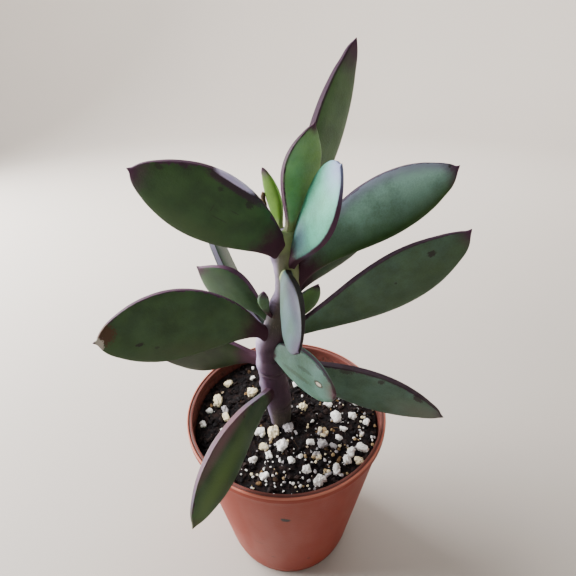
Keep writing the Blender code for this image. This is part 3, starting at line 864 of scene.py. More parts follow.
def rounded(points, radius, steps=4):
    """A profile with its inner corners rounded."""
    points = [Vector(p) for p in points]
    result = [points[0]]
    for before, corner, after in zip(points, points[1:], points[2:]):
        reach = min(radius, (before - corner).length / 2.2, (after - corner).length / 2.2)
        start = corner + (before - corner).normalized() * reach
        end = corner + (after - corner).normalized() * reach
        for i in range(steps + 1):
            t = i / steps
            result.append(start.lerp(corner, t).lerp(corner.lerp(end, t), t))
    result.append(points[-1])
    return result


def pot_profile(corner):
    """The pot's half section, from the middle of the underside round to the inside floor."""
    foot = pot_wall_radius(0)
    turns = [math.radians(90 * i / 8) for i in range(9)]
    outer_foot = [(foot - FOOT_ROUNDING * (1 - math.sin(a)), FOOT_ROUNDING * (1 - math.cos(a)))
                  for a in turns]
    band_foot = POT_HEIGHT - RIM_BAND_HEIGHT
    inner_rim = RIM_RADIUS - LIP_WIDTH
    inner_top = POT_HEIGHT - LIP_INNER_DROP
    lip = [
        (pot_wall_radius(band_foot), band_foot - RIM_BAND_SLOPE),
        (RIM_RADIUS, band_foot),
        (RIM_RADIUS, POT_HEIGHT),
        (RIM_RADIUS - LIP_OUTER_RING, POT_HEIGHT),
        (GROOVE_RADIUS, POT_HEIGHT - GROOVE_DEPTH),
        (GROOVE_RADIUS - GROOVE_WIDTH, inner_top),
        (inner_rim, inner_top),
        (inner_rim, inner_top - LIP_DEPTH),
        (pot_wall_radius(band_foot) - WALL, band_foot - RIM_BAND_SLOPE),
    ]
    under_lip = band_foot - 4 * MM
    levels = np.linspace(under_lip, FLOOR + FLOOR_CORNER, 12)
    inside = [(pot_wall_radius(z) - WALL, z) for z in levels]
    floor = [(foot - WALL - FLOOR_CORNER, FLOOR), (MIDDLE_RING, FLOOR)]
    wall = [(pot_wall_radius(z), z) for z in np.linspace(6 * MM, under_lip, 16)]
    shape = rounded([(MIDDLE_RING, 0)] + outer_foot + wall + lip + inside + floor, corner)
    return np.array([(p.x, p.y) for p in shape])


def drain_cutter():
    """The six drain holes as one cutter."""
    bm = bmesh.new()
    for i in range(DRAIN_HOLES):
        angle = math.tau * (i + 0.5) / DRAIN_HOLES
        at = (DRAIN_HOLE_RING * math.cos(angle), DRAIN_HOLE_RING * math.sin(angle), FLOOR / 2)
        bmesh.ops.create_cone(bm, cap_ends=True, segments=40, radius1=DRAIN_HOLE_RADIUS,
                              radius2=DRAIN_HOLE_RADIUS, depth=4 * FLOOR,
                              matrix=Matrix.Translation(at))
    cutter = bpy.data.objects.new("drain_holes", mesh_from_bmesh("drain_holes", bm))
    bpy.context.scene.collection.objects.link(cutter)
    return cutter


def cut_away(obj, cutter):
    """Cuts one shape out of another for good, and removes the cutter."""
    modifier = obj.modifiers.new("cut", "BOOLEAN")
    modifier.operation = "DIFFERENCE"
    modifier.solver = "EXACT"
    modifier.object = cutter
    bpy.context.view_layer.update()
    evaluated = obj.evaluated_get(bpy.context.evaluated_depsgraph_get())
    mesh = bpy.data.meshes.new_from_object(evaluated)
    obj.modifiers.clear()
    old = obj.data
    obj.data = mesh
    bpy.data.meshes.remove(old)
    bpy.data.objects.remove(cutter, do_unlink=True)


POT_MARK_COLOR = (0.012, 0.007, 0.006)
DAMP_SOIL_AND_SHADE = (0.105, 0.050, 0.044)
DARK_DUST = (0.035, 0.020, 0.016)
# Marks on the pot's wall: angle round it from +X, height and half sizes in mm, and how dark
POT_MARKS = [
    (-91.5, 66.6, 1.8, 1.3, 1.0), (-93.2, 67.6, 1.1, 1.0, 1.0), (-174, 84.5, 0.9, 0.8, 0.8),
    (-131, 50, 0.4, 2.2, 0.25), (-112, 36, 2.4, 0.5, 0.35), (-60, 44, 0.6, 0.6, 0.4),
    (-103, 22, 1.4, 0.6, 0.5), (-75, 18, 0.9, 1.3, 0.45),
]


def lip_shade_wear_and_highlight(tree, color, settings, in_mm, height):
    """The lip's groove darkened as painted shade, and its paler outer edge, which is wear and a
    painted highlight.
    """
    top = POT_HEIGHT / MM
    rim = RIM_RADIUS / MM
    radius = length_of(tree, vector_calc(tree, "MULTIPLY", in_mm, (1, 1, 0)))
    on_lip = step(tree, height, top - 1.0, top - 0.6)
    from_groove = calc(tree, "SUBTRACT", radius, GROOVE_RADIUS / MM)
    groove = step(tree, calc(tree, "ABSOLUTE", from_groove), 0.25, 0.6, 1.0, 0.0)
    # Painted shade in the groove
    color = mix(tree, product(tree, groove, on_lip, 0.85), color, darker(settings.color, 0.25))
    # The paler outer edge: wear and a painted highlight
    outer = step(tree, radius, rim - 0.75, rim - 0.35)
    return mix(tree, product(tree, outer, on_lip, 0.6), color, settings.worn)


def dusty_and_shaded_inside(tree, color, in_mm, height):
    """The inside, dimmed by painted shade and damp soil, and with its dust. Gives the colour and
    the dust's mask.
    """
    top = POT_HEIGHT / MM
    inward = attribute(tree, "pot_inside").outputs["Fac"]
    low = step(tree, height, top - 5.5, top - 2.5, 1.0, 0.12)
    patches = step(tree, speckle(tree, in_mm, 0.5, 4.0, 0.7), 0.46, 0.62)
    dust = product(tree, patches, product(tree, inward, low))
    # Dims the whole inside: painted shade, and the stain of damp soil
    color = mix(tree, product(tree, inward, 0.75), color, DAMP_SOIL_AND_SHADE)
    return mix(tree, product(tree, dust, 0.7), color, DARK_DUST), dust


def pot_material(settings):
    """Satin plastic with a faint mottle, scuffs, soil dust and painted shade inside the lip,
    painted shade in the lip's groove, a painted highlight on its outer edge, and a few marks.
    """
    material, tree, shader = new_material("pot_plastic", Specular_IOR_Level=0.2)
    in_mm = place_in_mm(tree)
    height = add(tree, "SeparateXYZ", {0: in_mm}).outputs["Z"]
    flow = vector_calc(tree, "MULTIPLY", in_mm, (1, 1, 0.35))
    cloud = speckle(tree, flow, 0.05, 3.0, 0.55)
    color = mix(tree, step(tree, cloud, 0.3, 0.7, 0.0, 0.5), settings.color,
                darker(settings.color, 0.86))
    scratch_place = vector_calc(tree, "MULTIPLY", in_mm, (0.5, 0.5, 2.4))
    scratches = step(tree, speckle(tree, scratch_place, 0.55, 4.0, 0.65), 0.66, 0.74, 0.0, 0.16)
    color = mix(tree, scratches, color, settings.worn)
    color = lip_shade_wear_and_highlight(tree, color, settings, in_mm, height)
    color, dust = dusty_and_shaded_inside(tree, color, in_mm, height)
    for angle, z, half_round, half_height, dark in POT_MARKS:
        radius = pot_wall_radius(z * MM) / MM
        turn = math.radians(angle)
        center = (radius * math.cos(turn), radius * math.sin(turn), z)
        size = (half_round, half_round, half_height)
        values = {"Place": in_mm, "Center": center, "Size": size, "Ragged": 1.1, "Soft": 0.25}
        color = marked(tree, color, values, POT_MARK_COLOR, dark)
    tree.links.new(color, shader.inputs["Base Color"])
    gloss = step(tree, cloud, 0.3, 0.7, settings.roughness - 0.05, settings.roughness + 0.07)
    gloss = calc(tree, "ADD", gloss, product(tree, scratches, 0.5))
    tree.links.new(gloss, shader.inputs["Roughness"])
    relief = calc(tree, "ADD", speckle(tree, in_mm, 0.9, 3.0, 0.5), product(tree, dust, 0.6))
    link_bump(tree, shader, relief, 0.05 * MM)
    return material


def make_pot(settings):
    """The thin-walled pot with its grooved lip and its drain holes."""
    profile = pot_profile(settings.corner)
    angles = np.arange(POT_SEGMENTS) * math.tau / POT_SEGMENTS
    rings = np.stack([profile[:, :1] * np.cos(angles), profile[:, :1] * np.sin(angles),
                      np.repeat(profile[:, 1:], POT_SEGMENTS, 1)], -1)
    pot = new_piece("pot_shell", mesh_from_rings("pot_shell", rings), pot_material(settings))
    cut_away(pot, drain_cutter())
    points = np.zeros(len(pot.data.vertices) * 3, np.float32)
    pot.data.vertices.foreach_get("co", points)
    points = points.reshape(-1, 3)
    radius = np.hypot(points[:, 0], points[:, 1])
    wall = FOOT_RADIUS + (RIM_RADIUS - FOOT_RADIUS) * points[:, 2] / POT_HEIGHT
    above_floor = smoothstep(4 * MM, 30 * MM, points[:, 2])
    inside = smoothstep(0.5 * MM, 1.2 * MM, wall - radius) * above_floor
    hold_values(pot.data, "pot_inside", inside)
    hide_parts("pot")


# Soil

def soil_height(x, y):
    """The height of the soil's uneven top at a place."""
    coarse = rough(x, y, 0, SWELL_SIZE)
    fine = rough(x, y, 7 * MM, DIP_SIZE)
    settled = math.hypot(x, y) / RIM_RADIUS
    level = POT_HEIGHT - SOIL_BELOW_RIM - SOIL_FALL_TO_WALL * settled ** 4
    return level + SOIL_ROUGHNESS * (0.7 * coarse + 0.5 * fine)


def soil_radius(z):
    """How far the soil reaches at a height: up to the wall, less the gap."""
    return pot_wall_radius(z) - WALL - GAP


def loose_reach(margin):
    """How far from the middle loose pieces may lie, to stay a margin off the pot's wall."""
    return soil_radius(POT_HEIGHT - SOIL_BELOW_RIM) - margin


def place_on_soil(draw, reach):
    """A random place within a distance from the middle."""
    angle = draw.uniform(0, math.tau)
    distance = reach * math.sqrt(draw.random())
    return distance * math.cos(angle), distance * math.sin(angle)


def crumbly_height(x, y, relief):
    """The soil's top with the relief of its crumbs."""
    lumps = abs(rough(x, y, 0.011, CLOD_SIZE)) + 0.5 * abs(rough(x, y, 0.023, CRUMB_SIZE))
    grit = 0.3 * rough(x, y, 0.031, GRIT_SIZE)
    return soil_height(x, y) + relief * (lumps + grit - 0.35)


def soil_rings(relief):
    """Rings of the soil's skin: underside, side, and the crumbly top towards the middle."""
    level = POT_HEIGHT - SOIL_BELOW_RIM - SOIL_EDGE_DROP
    bottom = FLOOR + GAP
    foot = soil_radius(0) - SOIL_FOOT_CORNER
    angles = np.arange(SOIL_SEGMENTS) * math.tau / SOIL_SEGMENTS
    unit = np.stack([np.cos(angles), np.sin(angles)], -1)
    rings = []
    side = [(soil_radius(z) - GAP, z) for z in (10 * MM, 40 * MM, level)]
    for radius, z in [(MIDDLE_RING, bottom), (foot, bottom)] + side:
        rings.append(np.column_stack([unit * radius, np.full(SOIL_SEGMENTS, z)]))
    for share in np.linspace(1, 0.01, SOIL_RINGS):
        flat = unit * share * (soil_radius(level) - GAP)
        heights = [crumbly_height(x, y, relief) for x, y in flat]
        rings.append(np.column_stack([flat, heights]))
    return np.array(rings)


def soil_material(settings):
    """Damp dark soil: near black, with browner and drier crumbs, and a dull damp sheen."""
    material, tree, shader = new_material("damp_soil", Specular_IOR_Level=0.12)
    in_mm = place_in_mm(tree)
    clumps = speckle(tree, in_mm, 0.35, 5.0, 0.65)
    grit = speckle(tree, in_mm, 1.9, 3.0, 0.6)
    color = mix(tree, step(tree, clumps, 0.46, 0.70), settings.color, settings.dry)
    color = mix(tree, step(tree, grit, 0.55, 0.8, 0.0, 0.6), color,
                darker(settings.color, 0.35))
    tree.links.new(color, shader.inputs["Base Color"])
    tree.links.new(step(tree, clumps, 0.35, 0.65, 0.55, 0.95), shader.inputs["Roughness"])
    link_bump(tree, shader, calc(tree, "ADD", clumps, grit), 0.5 * MM)
    return material


def crumb_material(settings):
    """Loose crumbs: each has its own shade, from damp soil to dry bark."""
    material, tree, shader = new_material("soil_crumbs", Specular_IOR_Level=0.12)
    in_mm = place_in_mm(tree)
    shade = attribute(tree, "crumb_shade").outputs["Fac"]
    grit = speckle(tree, in_mm, 1.4, 4.0, 0.65)
    color = mix(tree, step(tree, shade, 0.2, 1.0), settings.color, settings.dry)
    bark = step(tree, shade, 0.955, 0.975)
    color = mix(tree, bark, color, (0.20, 0.12, 0.055))
    color = mix(tree, step(tree, grit, 0.4, 0.75, 0.0, 0.65), color,
                darker(settings.color, 0.4))
    tree.links.new(color, shader.inputs["Base Color"])
    tree.links.new(step(tree, grit, 0.3, 0.7, 0.5, 0.95), shader.inputs["Roughness"])
    link_bump(tree, shader, grit, 0.3 * MM)
    return material


def grain_material():
    """Puffed white mineral: chalky, with grey pores, and each grain in its own tint; the grey tint
    of the large grains is painted shade.
    """
    material, tree, shader = new_material("puffed_mineral", Roughness=0.9)
    in_mm = place_in_mm(tree)
    tint = attribute(tree, "grain_tint").outputs["Color"]
    pores = speckle(tree, in_mm, 1.5, 4.0, 0.6)
    stain = speckle(tree, in_mm, 0.4, 3.0, 0.55)
    color = mix(tree, step(tree, stain, 0.5, 0.75, 0.0, 0.6), tint, (0.90, 0.89, 0.86))
    color = mix(tree, step(tree, pores, 0.52, 0.72, 0.0, 0.5), color, (0.16, 0.13, 0.12))
    tree.links.new(color, shader.inputs["Base Color"])
    link_bump(tree, shader, pores, 0.35 * MM)
    return material


def small_grain_places(draw):
    """Free places for the small grains, thicker on the ground towards the front right."""
    taken = [(x * MM, y * MM, r * MM) for x, y, r, _ in LARGE_GRAINS]
    taken.append((STEM_PATH[2][1] * MM, STEM_PATH[2][2] * MM, STEM_PATH[2][3] * MM))
    places = []
    while len(places) < SMALL_GRAINS:
        x, y = place_on_soil(draw, SMALL_GRAIN_REACH)
        wanted = 0.35 + 0.65 * (0.5 + (x - y) / (2.5 * RIM_RADIUS))
        free = all(math.hypot(x - a, y - b) > r + 2.0 * SMALL_GRAIN_RADIUS for a, b, r in taken)
        if free and draw.random() < wanted:
            size = SMALL_GRAIN_RADIUS * draw.uniform(0.7, 1.3)
            places.append((x, y, size))
            taken.append((x, y, size))
    return places


def unit_ball(subdivisions):
    """Points and faces of an even ball of radius 1."""
    bm = bmesh.new()
    bmesh.ops.create_icosphere(bm, subdivisions=subdivisions, radius=1)
    bm.verts.index_update()
    points = [vert.co.copy() for vert in bm.verts]
    faces = [[vert.index for vert in face.verts] for face in bm.faces]
    bm.free()
    return points, faces


class Lumps:
    """Gathers rough lumps, and a value for each, into one mesh."""

    def __init__(self):
        self.balls = {level: unit_ball(level) for level in (2, 3, 4)}
        self.points = []
        self.faces = []
        self.values = []

    def add(self, center, radius, stretch, turn, level, bumps, value, square=0.0):
        """Adds a lump. bumps are pairs: how many across, and how deep as a share.

        square goes from 0, for a ball, to 1, for a block.
        """
        points, faces = self.balls[level]
        seed = Vector(center) / MM
        first = len(self.points)
        cosine, sine = math.cos(turn), math.sin(turn)
        for way in points:
            swell = radius * (1 + sum(depth * noise.noise(way * size + seed)
                                      for size, depth in bumps))
            if square:
                swell *= (BLOCK_HALF_WIDTH / max(abs(a) for a in way)) ** square
            x, y, z = [a * b * swell for a, b in zip(way, stretch)]
            self.points.append((center[0] + x * cosine - y * sine,
                                center[1] + x * sine + y * cosine, center[2] + z))
        self.faces += [[first + i for i in face] for face in faces]
        self.values += [value] * len(points)

    def mesh(self, name, value_name):
        """The mesh of all the lumps."""
        mesh = bpy.data.meshes.new(name)
        mesh.from_pydata(self.points, [], self.faces)
        hold_values(mesh, value_name, self.values)
        return mesh


def make_grains():
    """The white grains: the large and the small ones, and the finer grit between them."""
    draw = random.Random(GRAIN_SEED)
    small = small_grain_places(draw)
    grains = [(x * MM, y * MM, r * MM, tint, 4) for x, y, r, tint in LARGE_GRAINS]
    grains += [(x, y, r, "white", 3) for x, y, r in small]
    lumps = Lumps()
    for x, y, radius, tint, level in grains:
        bark = tint == "tan"
        lobes = BARK_LOBES if bark else draw.choice((1, 2, 2, 3))
        heading = draw.uniform(0, math.tau)
        for lobe in range(lobes):
            size = radius * (BARK_LOBE if bark else GRAIN_LOBES[lobe])
            off = radius * 0.62 * (lobe > 0 or bark) * draw.uniform(0.75, 1.1)
            way = heading + 2.4 * lobe
            at = (x + off * math.cos(way), y + off * math.sin(way))
            stretch = (draw.uniform(0.9, 1.3), draw.uniform(0.65, 0.95), draw.uniform(0.7, 0.95))
            center = (*at, soil_height(*at) + 0.15 * radius)
            shade = draw.choice(("tan", "cream", "grey")) if bark else tint
            lumps.add(center, size, stretch, draw.uniform(0, math.tau), level - (lobe > 0),
                      GRAIN_BUMPS, GRAIN_TINTS[shade], square=draw.uniform(0.2, 0.75))
    material = grain_material()
    new_piece("soil_white_grains", lumps.mesh("grains", "grain_tint"), material)
    make_grit(material)


def make_grit(material):
    """Fine white grit, thick on the ground at the front right."""
    draw = random.Random(GRIT_SEED)
    lumps = Lumps()
    count = 0
    while count < GRIT:
        x, y = place_on_soil(draw, loose_reach(1.0 * MM))
        wanted = min(max(0.22 + 0.9 * (0.6 * x - y) / RIM_RADIUS, 0.07), 1)
        if draw.random() > wanted:
            continue
        size = draw.uniform(0.22, 0.85) ** 1.3 * MM
        stretch = (draw.uniform(0.8, 1.3), draw.uniform(0.7, 1.0), draw.uniform(0.6, 0.9))
        center = (x, y, soil_height(x, y) + 0.45 * MM)
        tint = draw.choice(["white", "white", "cream", "grey", "grey", "tan"])
        lumps.add(center, size, stretch, draw.uniform(0, math.tau), 2, GRIT_BUMPS,
                  GRAIN_TINTS[tint], square=draw.uniform(0, 0.9))
        count += 1
    new_piece("soil_white_grit", lumps.mesh("grit", "grain_tint"), material)


def make_crumbs(settings):
    """Loose crumbs of soil and bark all over the top of the soil."""
    draw = random.Random(CRUMB_SEED)
    lumps = Lumps()
    for _ in range(CRUMBS):
        x, y = place_on_soil(draw, loose_reach(1.2 * MM))
        size = (0.3 + 1.1 * draw.random() ** 2.5) * MM
        stretch = (draw.uniform(0.8, 1.5), draw.uniform(0.6, 1.0), draw.uniform(0.5, 0.9))
        center = (x, y, soil_height(x, y) + 0.2 * size)
        lumps.add(center, size, stretch, draw.uniform(0, math.tau), 2, CRUMB_BUMPS,
                  draw.random())
    new_piece("soil_crumbs", lumps.mesh("crumbs", "crumb_shade"), crumb_material(settings))


def make_fibres(settings):
    """Short bent fibres and root hairs that stick up from the soil."""
    draw = random.Random(FIBRE_SEED)
    bm = bmesh.new()
    shades = []
    for _ in range(FIBRES):
        x, y = place_on_soil(draw, FIBRE_REACH)
        heading = draw.uniform(0, math.tau)
        bend = draw.uniform(-1.6, 1.6)
        length = draw.uniform(3, 8) * MM
        radius = draw.uniform(0.08, 0.16) * MM
        shade = draw.uniform(0.5, 1.0)
        hop = draw.uniform(0.3, 1.2) * MM
        loops = []
        for i in range(FIBRE_RINGS):
            t = i / (FIBRE_RINGS - 1)
            way = heading + bend * t
            point = Vector((x, y, soil_height(x, y) + hop * math.sin(math.pi * t) + 0.3 * MM))
            across = Vector((-math.sin(way), math.cos(way), 0))
            ring = [point + radius * (across * math.cos(a) + Vector((0, 0, math.sin(a))))
                    for a in np.arange(FIBRE_SIDES) * math.tau / FIBRE_SIDES]
            loops.append([bm.verts.new(p) for p in ring])
            x += math.cos(way) * length / FIBRE_RINGS
            y += math.sin(way) * length / FIBRE_RINGS
        join_loops(bm, loops)
        bm.faces.new(reversed(loops[0]))
        bm.faces.new(loops[-1])
        shades += [shade] * FIBRE_RINGS * FIBRE_SIDES
    mesh = mesh_from_bmesh("fibres", bm)
    hold_values(mesh, "crumb_shade", shades)
    new_piece("soil_fibres", mesh, crumb_material(settings))


def make_soil(settings):
    """The ground itself, which stands for the packed soil with its grains."""
    mesh = mesh_from_rings("ground", soil_rings(settings.relief))
    ground = new_piece("soil_ground", mesh, soil_material(settings), smooth_angle=0)
    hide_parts("soil")


# Stem

# Leaf scars: height, the middle of the scar as an angle round the stem, half its width as an
# angle, and its depth in mm
STEM_SCARS = [(111.5, -110, 75, 0.30), (118.5, -60, 60, 0.22), (97.5, 150, 60, 0.22),
              (93.5, -30, 55, 0.25), (104.5, 40, 70, 0.22), (142, -150, 50, 0.2),
              (147, -100, 60, 0.2)]
# Buds under the skin: height, angle, half height and half width in mm, and how far it stands out
STEM_BUDS = [(98.5, 196, 2.2, 1.8, 0.8), (103.5, 188, 1.6, 1.3, 0.7), (113, -75, 1.3, 1.2, 0.4),
             (120, 100, 1.8, 1.6, 0.5), (145.5, 185, 3.0, 2.0, 0.7), (166.5, 195, 3.0, 2.4, 1.3)]


def turn_between(a, b):
    """The shorter turn from one angle to another, in degrees."""
    return (a - b + 180) % 360 - 180


def stem_relief(z_mm, angles):
    """How far the skin stands out at a height, all round the stem, and where its scars are."""
    out = np.zeros(len(angles))
    scarred = np.zeros(len(angles))
    for height, middle, half, depth in STEM_SCARS:
        spread = bump_at(0, half, turn_between(angles, middle))
        dip = height - 0.8 * (1 - spread)
        line = bump_at(dip, 0.28, z_mm) * spread
        shelf = bump_at(dip - 0.9, 0.7, z_mm) * spread
        out += depth * (0.8 * shelf - line)
        scarred += line
    for height, middle, tall, wide, depth in STEM_BUDS:
        off = turn_between(angles, middle) / math.degrees(wide / 5)
        out += depth * np.exp(-((z_mm - height) / tall) ** 2 - off ** 2)
    return out * MM, np.clip(scarred, 0, 1)


def stem_zones(z_mm, angles):
    """Shares of new green skin, old grey skin and pale bloom round the stem at a height; the bloom
    is a painted highlight on the side towards the light.
    """
    light_side = 0.5 + 0.5 * np.cos(np.radians(turn_between(angles, 180)))
    green = smoothstep(*NEW_SKIN_FROM, z_mm) * (0.35 + 0.5 * smoothstep(0.3, 0.8, 1 - light_side))
    green = np.maximum(green, smoothstep(*ALL_NEW_FROM, z_mm))
    old = (1 - smoothstep(*OLD_SKIN_TO, z_mm)) * (0.55 + 0.45 * (1 - light_side))
    knob = bump_at(*CORKY_KNOB, z_mm)
    old = np.maximum(old, 0.95 * knob)
    # The bloom lies only on the side towards the light, and on the bend: a painted highlight
    bloom = smoothstep(0.72, 1.0, light_side) * (0.45 + 0.5 * smoothstep(*MORE_BLOOM_HIGHLIGHT_FROM, z_mm))
    bend = bump_at(*BEND_HIGHLIGHT, z_mm)
    bloom = np.maximum(bloom, 0.5 * bend * smoothstep(0.7, 0.95, light_side))
    bloom = bloom * (1 - 0.85 * knob)
    return green, old, bloom


def stem_material(settings):
    """Purple skin with a pale bloom painted as a highlight on the side towards the light, grey and
    corky near the soil, green at the top.
    """
    material, tree, shader = new_material("stem_skin", Subsurface_Weight=0.04,
                                          Subsurface_Scale=2 * MM, IOR=1.42)
    in_mm = place_in_mm(tree)
    stretched = vector_calc(tree, "MULTIPLY", in_mm, (1, 1, 0.4))
    streaks = speckle(tree, stretched, 0.6, 4.0, 0.6)
    zones = add(tree, "SeparateXYZ", {0: attribute(tree, "stem_zones").outputs["Vector"]})
    green, old, bloom = zones.outputs
    color = mix(tree, step(tree, streaks, 0.3, 0.7, 0.0, 0.6), settings.purple,
                darker(settings.purple, 0.62))
    color = mix(tree, old, color, settings.olive)
    color = mix(tree, green, color, settings.green)
    highlit_bloom = place_group(tree, "Waxy bloom", {
        "Place": in_mm, "Skin": color, "Bloom": settings.bloom, "Amount": bloom})
    scar = attribute(tree, "stem_scar").outputs["Fac"]
    color = mix(tree, product(tree, scar, 0.8), highlit_bloom["Color"], (0.045, 0.028, 0.030))
    corky = step(tree, speckle(tree, stretched, 1.6, 4.0, 0.7), 0.56, 0.66)
    color = mix(tree, product(tree, corky, old, 0.5), color, (0.20, 0.17, 0.14))
    tree.links.new(color, shader.inputs["Base Color"])
    tree.links.new(calc(tree, "ADD", product(tree, old, 0.25), 0.48), shader.inputs["Roughness"])
    link_bump(tree, shader, calc(tree, "ADD", highlit_bloom["Height"], streaks), 0.12 * MM)
    return material


def make_stem(settings):
    """The crooked stem, fuller at each leaf's joint, with its scars and buds."""
    bottom = POT_HEIGHT - SOIL_BELOW_RIM - STEM_DEPTH_IN_SOIL
    top = STEM_PATH[-1][0] * MM
    angles = np.arange(STEM_SIDES) * 360 / STEM_SIDES
    turns = np.radians(angles)
    rings, zones, scars = [], [], []
    levels = [(z, 1.0) for z in np.linspace(bottom, top, STEM_RINGS)]
    levels += [(top + rise * MM, share) for share, rise in STEM_END]
    for z, share in levels:
        center, radius = stem_at(min(z, top))
        for leaf in ALL_LEAVES.values():
            radius += NODE_SWELLING * math.exp(-((min(z, top) - leaf.height) / NODE_LENGTH) ** 2)
        relief, scar = stem_relief(z / MM, angles)
        uneven = np.array([0.10 * rough(math.cos(t) * 0.004, math.sin(t) * 0.004, z, 2.2 * MM)
                           for t in turns]) * MM
        reach = (radius + relief + uneven) * share
        rings.append(np.column_stack([center.x + reach * np.cos(turns),
                                      center.y + reach * np.sin(turns),
                                      np.full(STEM_SIDES, z)]))
        green, old, bloom = stem_zones(z / MM, angles)
        zones.append(np.column_stack([green + 0 * angles, old, bloom]))
        scars.append(scar)
    mesh = mesh_from_rings("stem", np.array(rings))
    hold_values(mesh, "stem_zones", with_ends(np.array(zones)))
    hold_values(mesh, "stem_scar", with_ends(np.array(scars)[..., None])[:, 0])
    stem = new_piece("stem_skin", mesh, stem_material(settings))
    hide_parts("stem")


# Leaves

def leaf_half_width(leaf, s):
    """Half the leaf's width at a share s of its length: stalk, blade and pointed tip."""
    power = math.log(0.5) / math.log(leaf.widest)
    blade_share = np.clip((s - leaf.neck) / (1 - TIP_LENGTH - leaf.neck), 0, 1)
    arc = np.maximum(np.sin(math.pi * blade_share ** power), 0)
    blade = leaf.width / 2 * arc ** leaf.fullness
    stalk = leaf.stalk * np.sqrt(np.maximum(1 - STALK_FADE * s, 0))
    stalk += leaf.flare * np.maximum(1 - FLARE_FADE * s, 0)
    to_tip = (1 - s) * leaf.length
    reach = TIP_REACH * leaf.length
    point = TIP_SLOPE * to_tip * np.maximum(1 - to_tip / (2 * reach), 0)
    return np.maximum(np.hypot(np.hypot(blade, stalk), point), THINNEST)


def leaf_half_thickness(leaf, s):
    """Half the leaf's thickness, from a round stalk to a thin tip."""
    body = leaf.thickness / 2 * np.sin(math.pi * (0.18 + 0.80 * s)) ** 0.6
    stalk = (0.9 * leaf.stalk - 0.6 * leaf.thickness / 2) * np.maximum(1 - ROUND_FADE * s, 0)
    point = np.minimum((1 - s) / 0.02, 1) ** 0.6
    return np.maximum(np.maximum(body + stalk, BLADE_HALF_THICKNESS) * point, THINNEST)


def leaf_spine(leaf, hook=0.0):
    """Along the leaf: its share of the length, its middle, and the ways across and through.

    hook is how far the very tip bends up.
    """
    axis, _ = stem_at(leaf.height)
    joint = math.radians(leaf.joint)
    s = np.linspace(0, 1, BLADE_STATIONS + 1)
    yaw = np.radians(leaf.heading + leaf.sweep * s)
    slope = np.radians(leaf.rise + leaf.lift * s + leaf.arch * (s * s - s))
    roll = np.radians(leaf.roll + leaf.twist * s)[:, None]
    along = np.stack([np.cos(slope) * np.cos(yaw), np.cos(slope) * np.sin(yaw),
                      np.sin(slope)], -1)
    upward = np.stack([-np.sin(slope) * np.cos(yaw), -np.sin(slope) * np.sin(yaw),
                       np.cos(slope)], -1)
    level = np.stack([-np.sin(yaw), np.cos(yaw), 0 * yaw], -1)
    side = upward * np.cos(roll) + level * np.sin(roll)
    face = np.cross(along, side)
    steps = along[1:] + along[:-1]
    steps *= leaf.length / BLADE_STATIONS / np.linalg.norm(steps, axis=1, keepdims=True)
    start = np.array(axis) + leaf.start * np.array([math.cos(joint), math.sin(joint), 0])
    middle = start + np.concatenate([np.zeros((1, 3)), np.cumsum(steps, 0)])
    hooked = np.maximum((s - (1 - HOOK_LENGTH)) / HOOK_LENGTH, 0)
    middle += side * (hook * hooked ** 2)[:, None]
    return s, middle, side, face


def leaf_section():
    """Points round a blade: how far across and how far through, each from -1 to 1."""
    quarter = np.radians(SECTION_ANGLES)
    angles = np.concatenate([quarter, math.pi - quarter[::-1], math.pi + quarter[1:],
                             math.tau - quarter[:0:-1]])
    angles = np.unique(np.round(np.append(angles, [math.pi / 2, 1.5 * math.pi]), 9))
    widest = math.cos(math.pi / CAD_SIDES) ** EDGE_SQUARENESS
    cosine, sine = np.cos(angles), np.sin(angles)
    across = np.sign(cosine) * np.abs(cosine) ** EDGE_SQUARENESS / widest
    across = np.clip(across, -1, 1) + 0.012 * np.sign(cosine) * np.maximum(np.abs(across) - 1, 0)
    through = np.sign(sine) * np.abs(sine) ** FACE_FLATNESS
    return across, through


def make_leaf(name, leaf, material):
    """One leaf as a fine closed skin that stands for the packed one."""
    s, middle, side, face = leaf_spine(leaf, TIP_HOOKS.get(name, 0.0))
    across, through = leaf_section()
    half_width = leaf_half_width(leaf, s)
    half_thickness = leaf_half_thickness(leaf, s)
    seed = sum(ord(letter) for letter in name) * 0.0137
    wave = np.array([[rough(a * 0.004 + seed, b * w * 0.9 + seed, FACE_WAVE_SIZE * c,
                            FACE_WAVE_SIZE)
                      for b, c in zip(across, np.sign(through))]
                     for a, w in zip(s * leaf.length / (4 * MM), half_width)])
    margin = np.array([rough(t * leaf.length, seed, 0, MARGIN_WAVE_SIZE) for t in s])
    margin *= MARGIN_WAVE
    inner = smoothstep(0.08, 0.3, s) * smoothstep(0.0, 0.06, 1 - s)
    reach = (half_width + margin * inner)[:, None] * across
    depth = half_thickness[:, None] * through * (1 + FACE_WAVE * wave * inner[:, None])
    rings = (middle[:, None] + side[:, None] * reach[..., None] + face[:, None] * depth[..., None])
    mesh = mesh_from_rings(name, rings)
    along_mm = np.repeat((s * leaf.length / MM)[:, None], len(across), 1)
    place = np.stack([along_mm, reach / MM, depth / MM], -1)
    inward = (1 - np.minimum(np.abs(across), 1)) * half_width[:, None] / MM
    edge = np.stack([inward, leaf.length / MM - along_mm,
                     np.repeat(np.abs(through)[None], len(s), 0)], -1)
    hold_values(mesh, "leaf_place", with_ends(place))
    hold_values(mesh, "leaf_edge", with_ends(edge))
    hold_values(mesh, "leaf_across",
                with_ends(np.repeat(across[None], len(s), 0)[..., None])[:, 0])
    piece = new_piece(name + "_skin", mesh, material, smooth_angle=60)
    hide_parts(name)


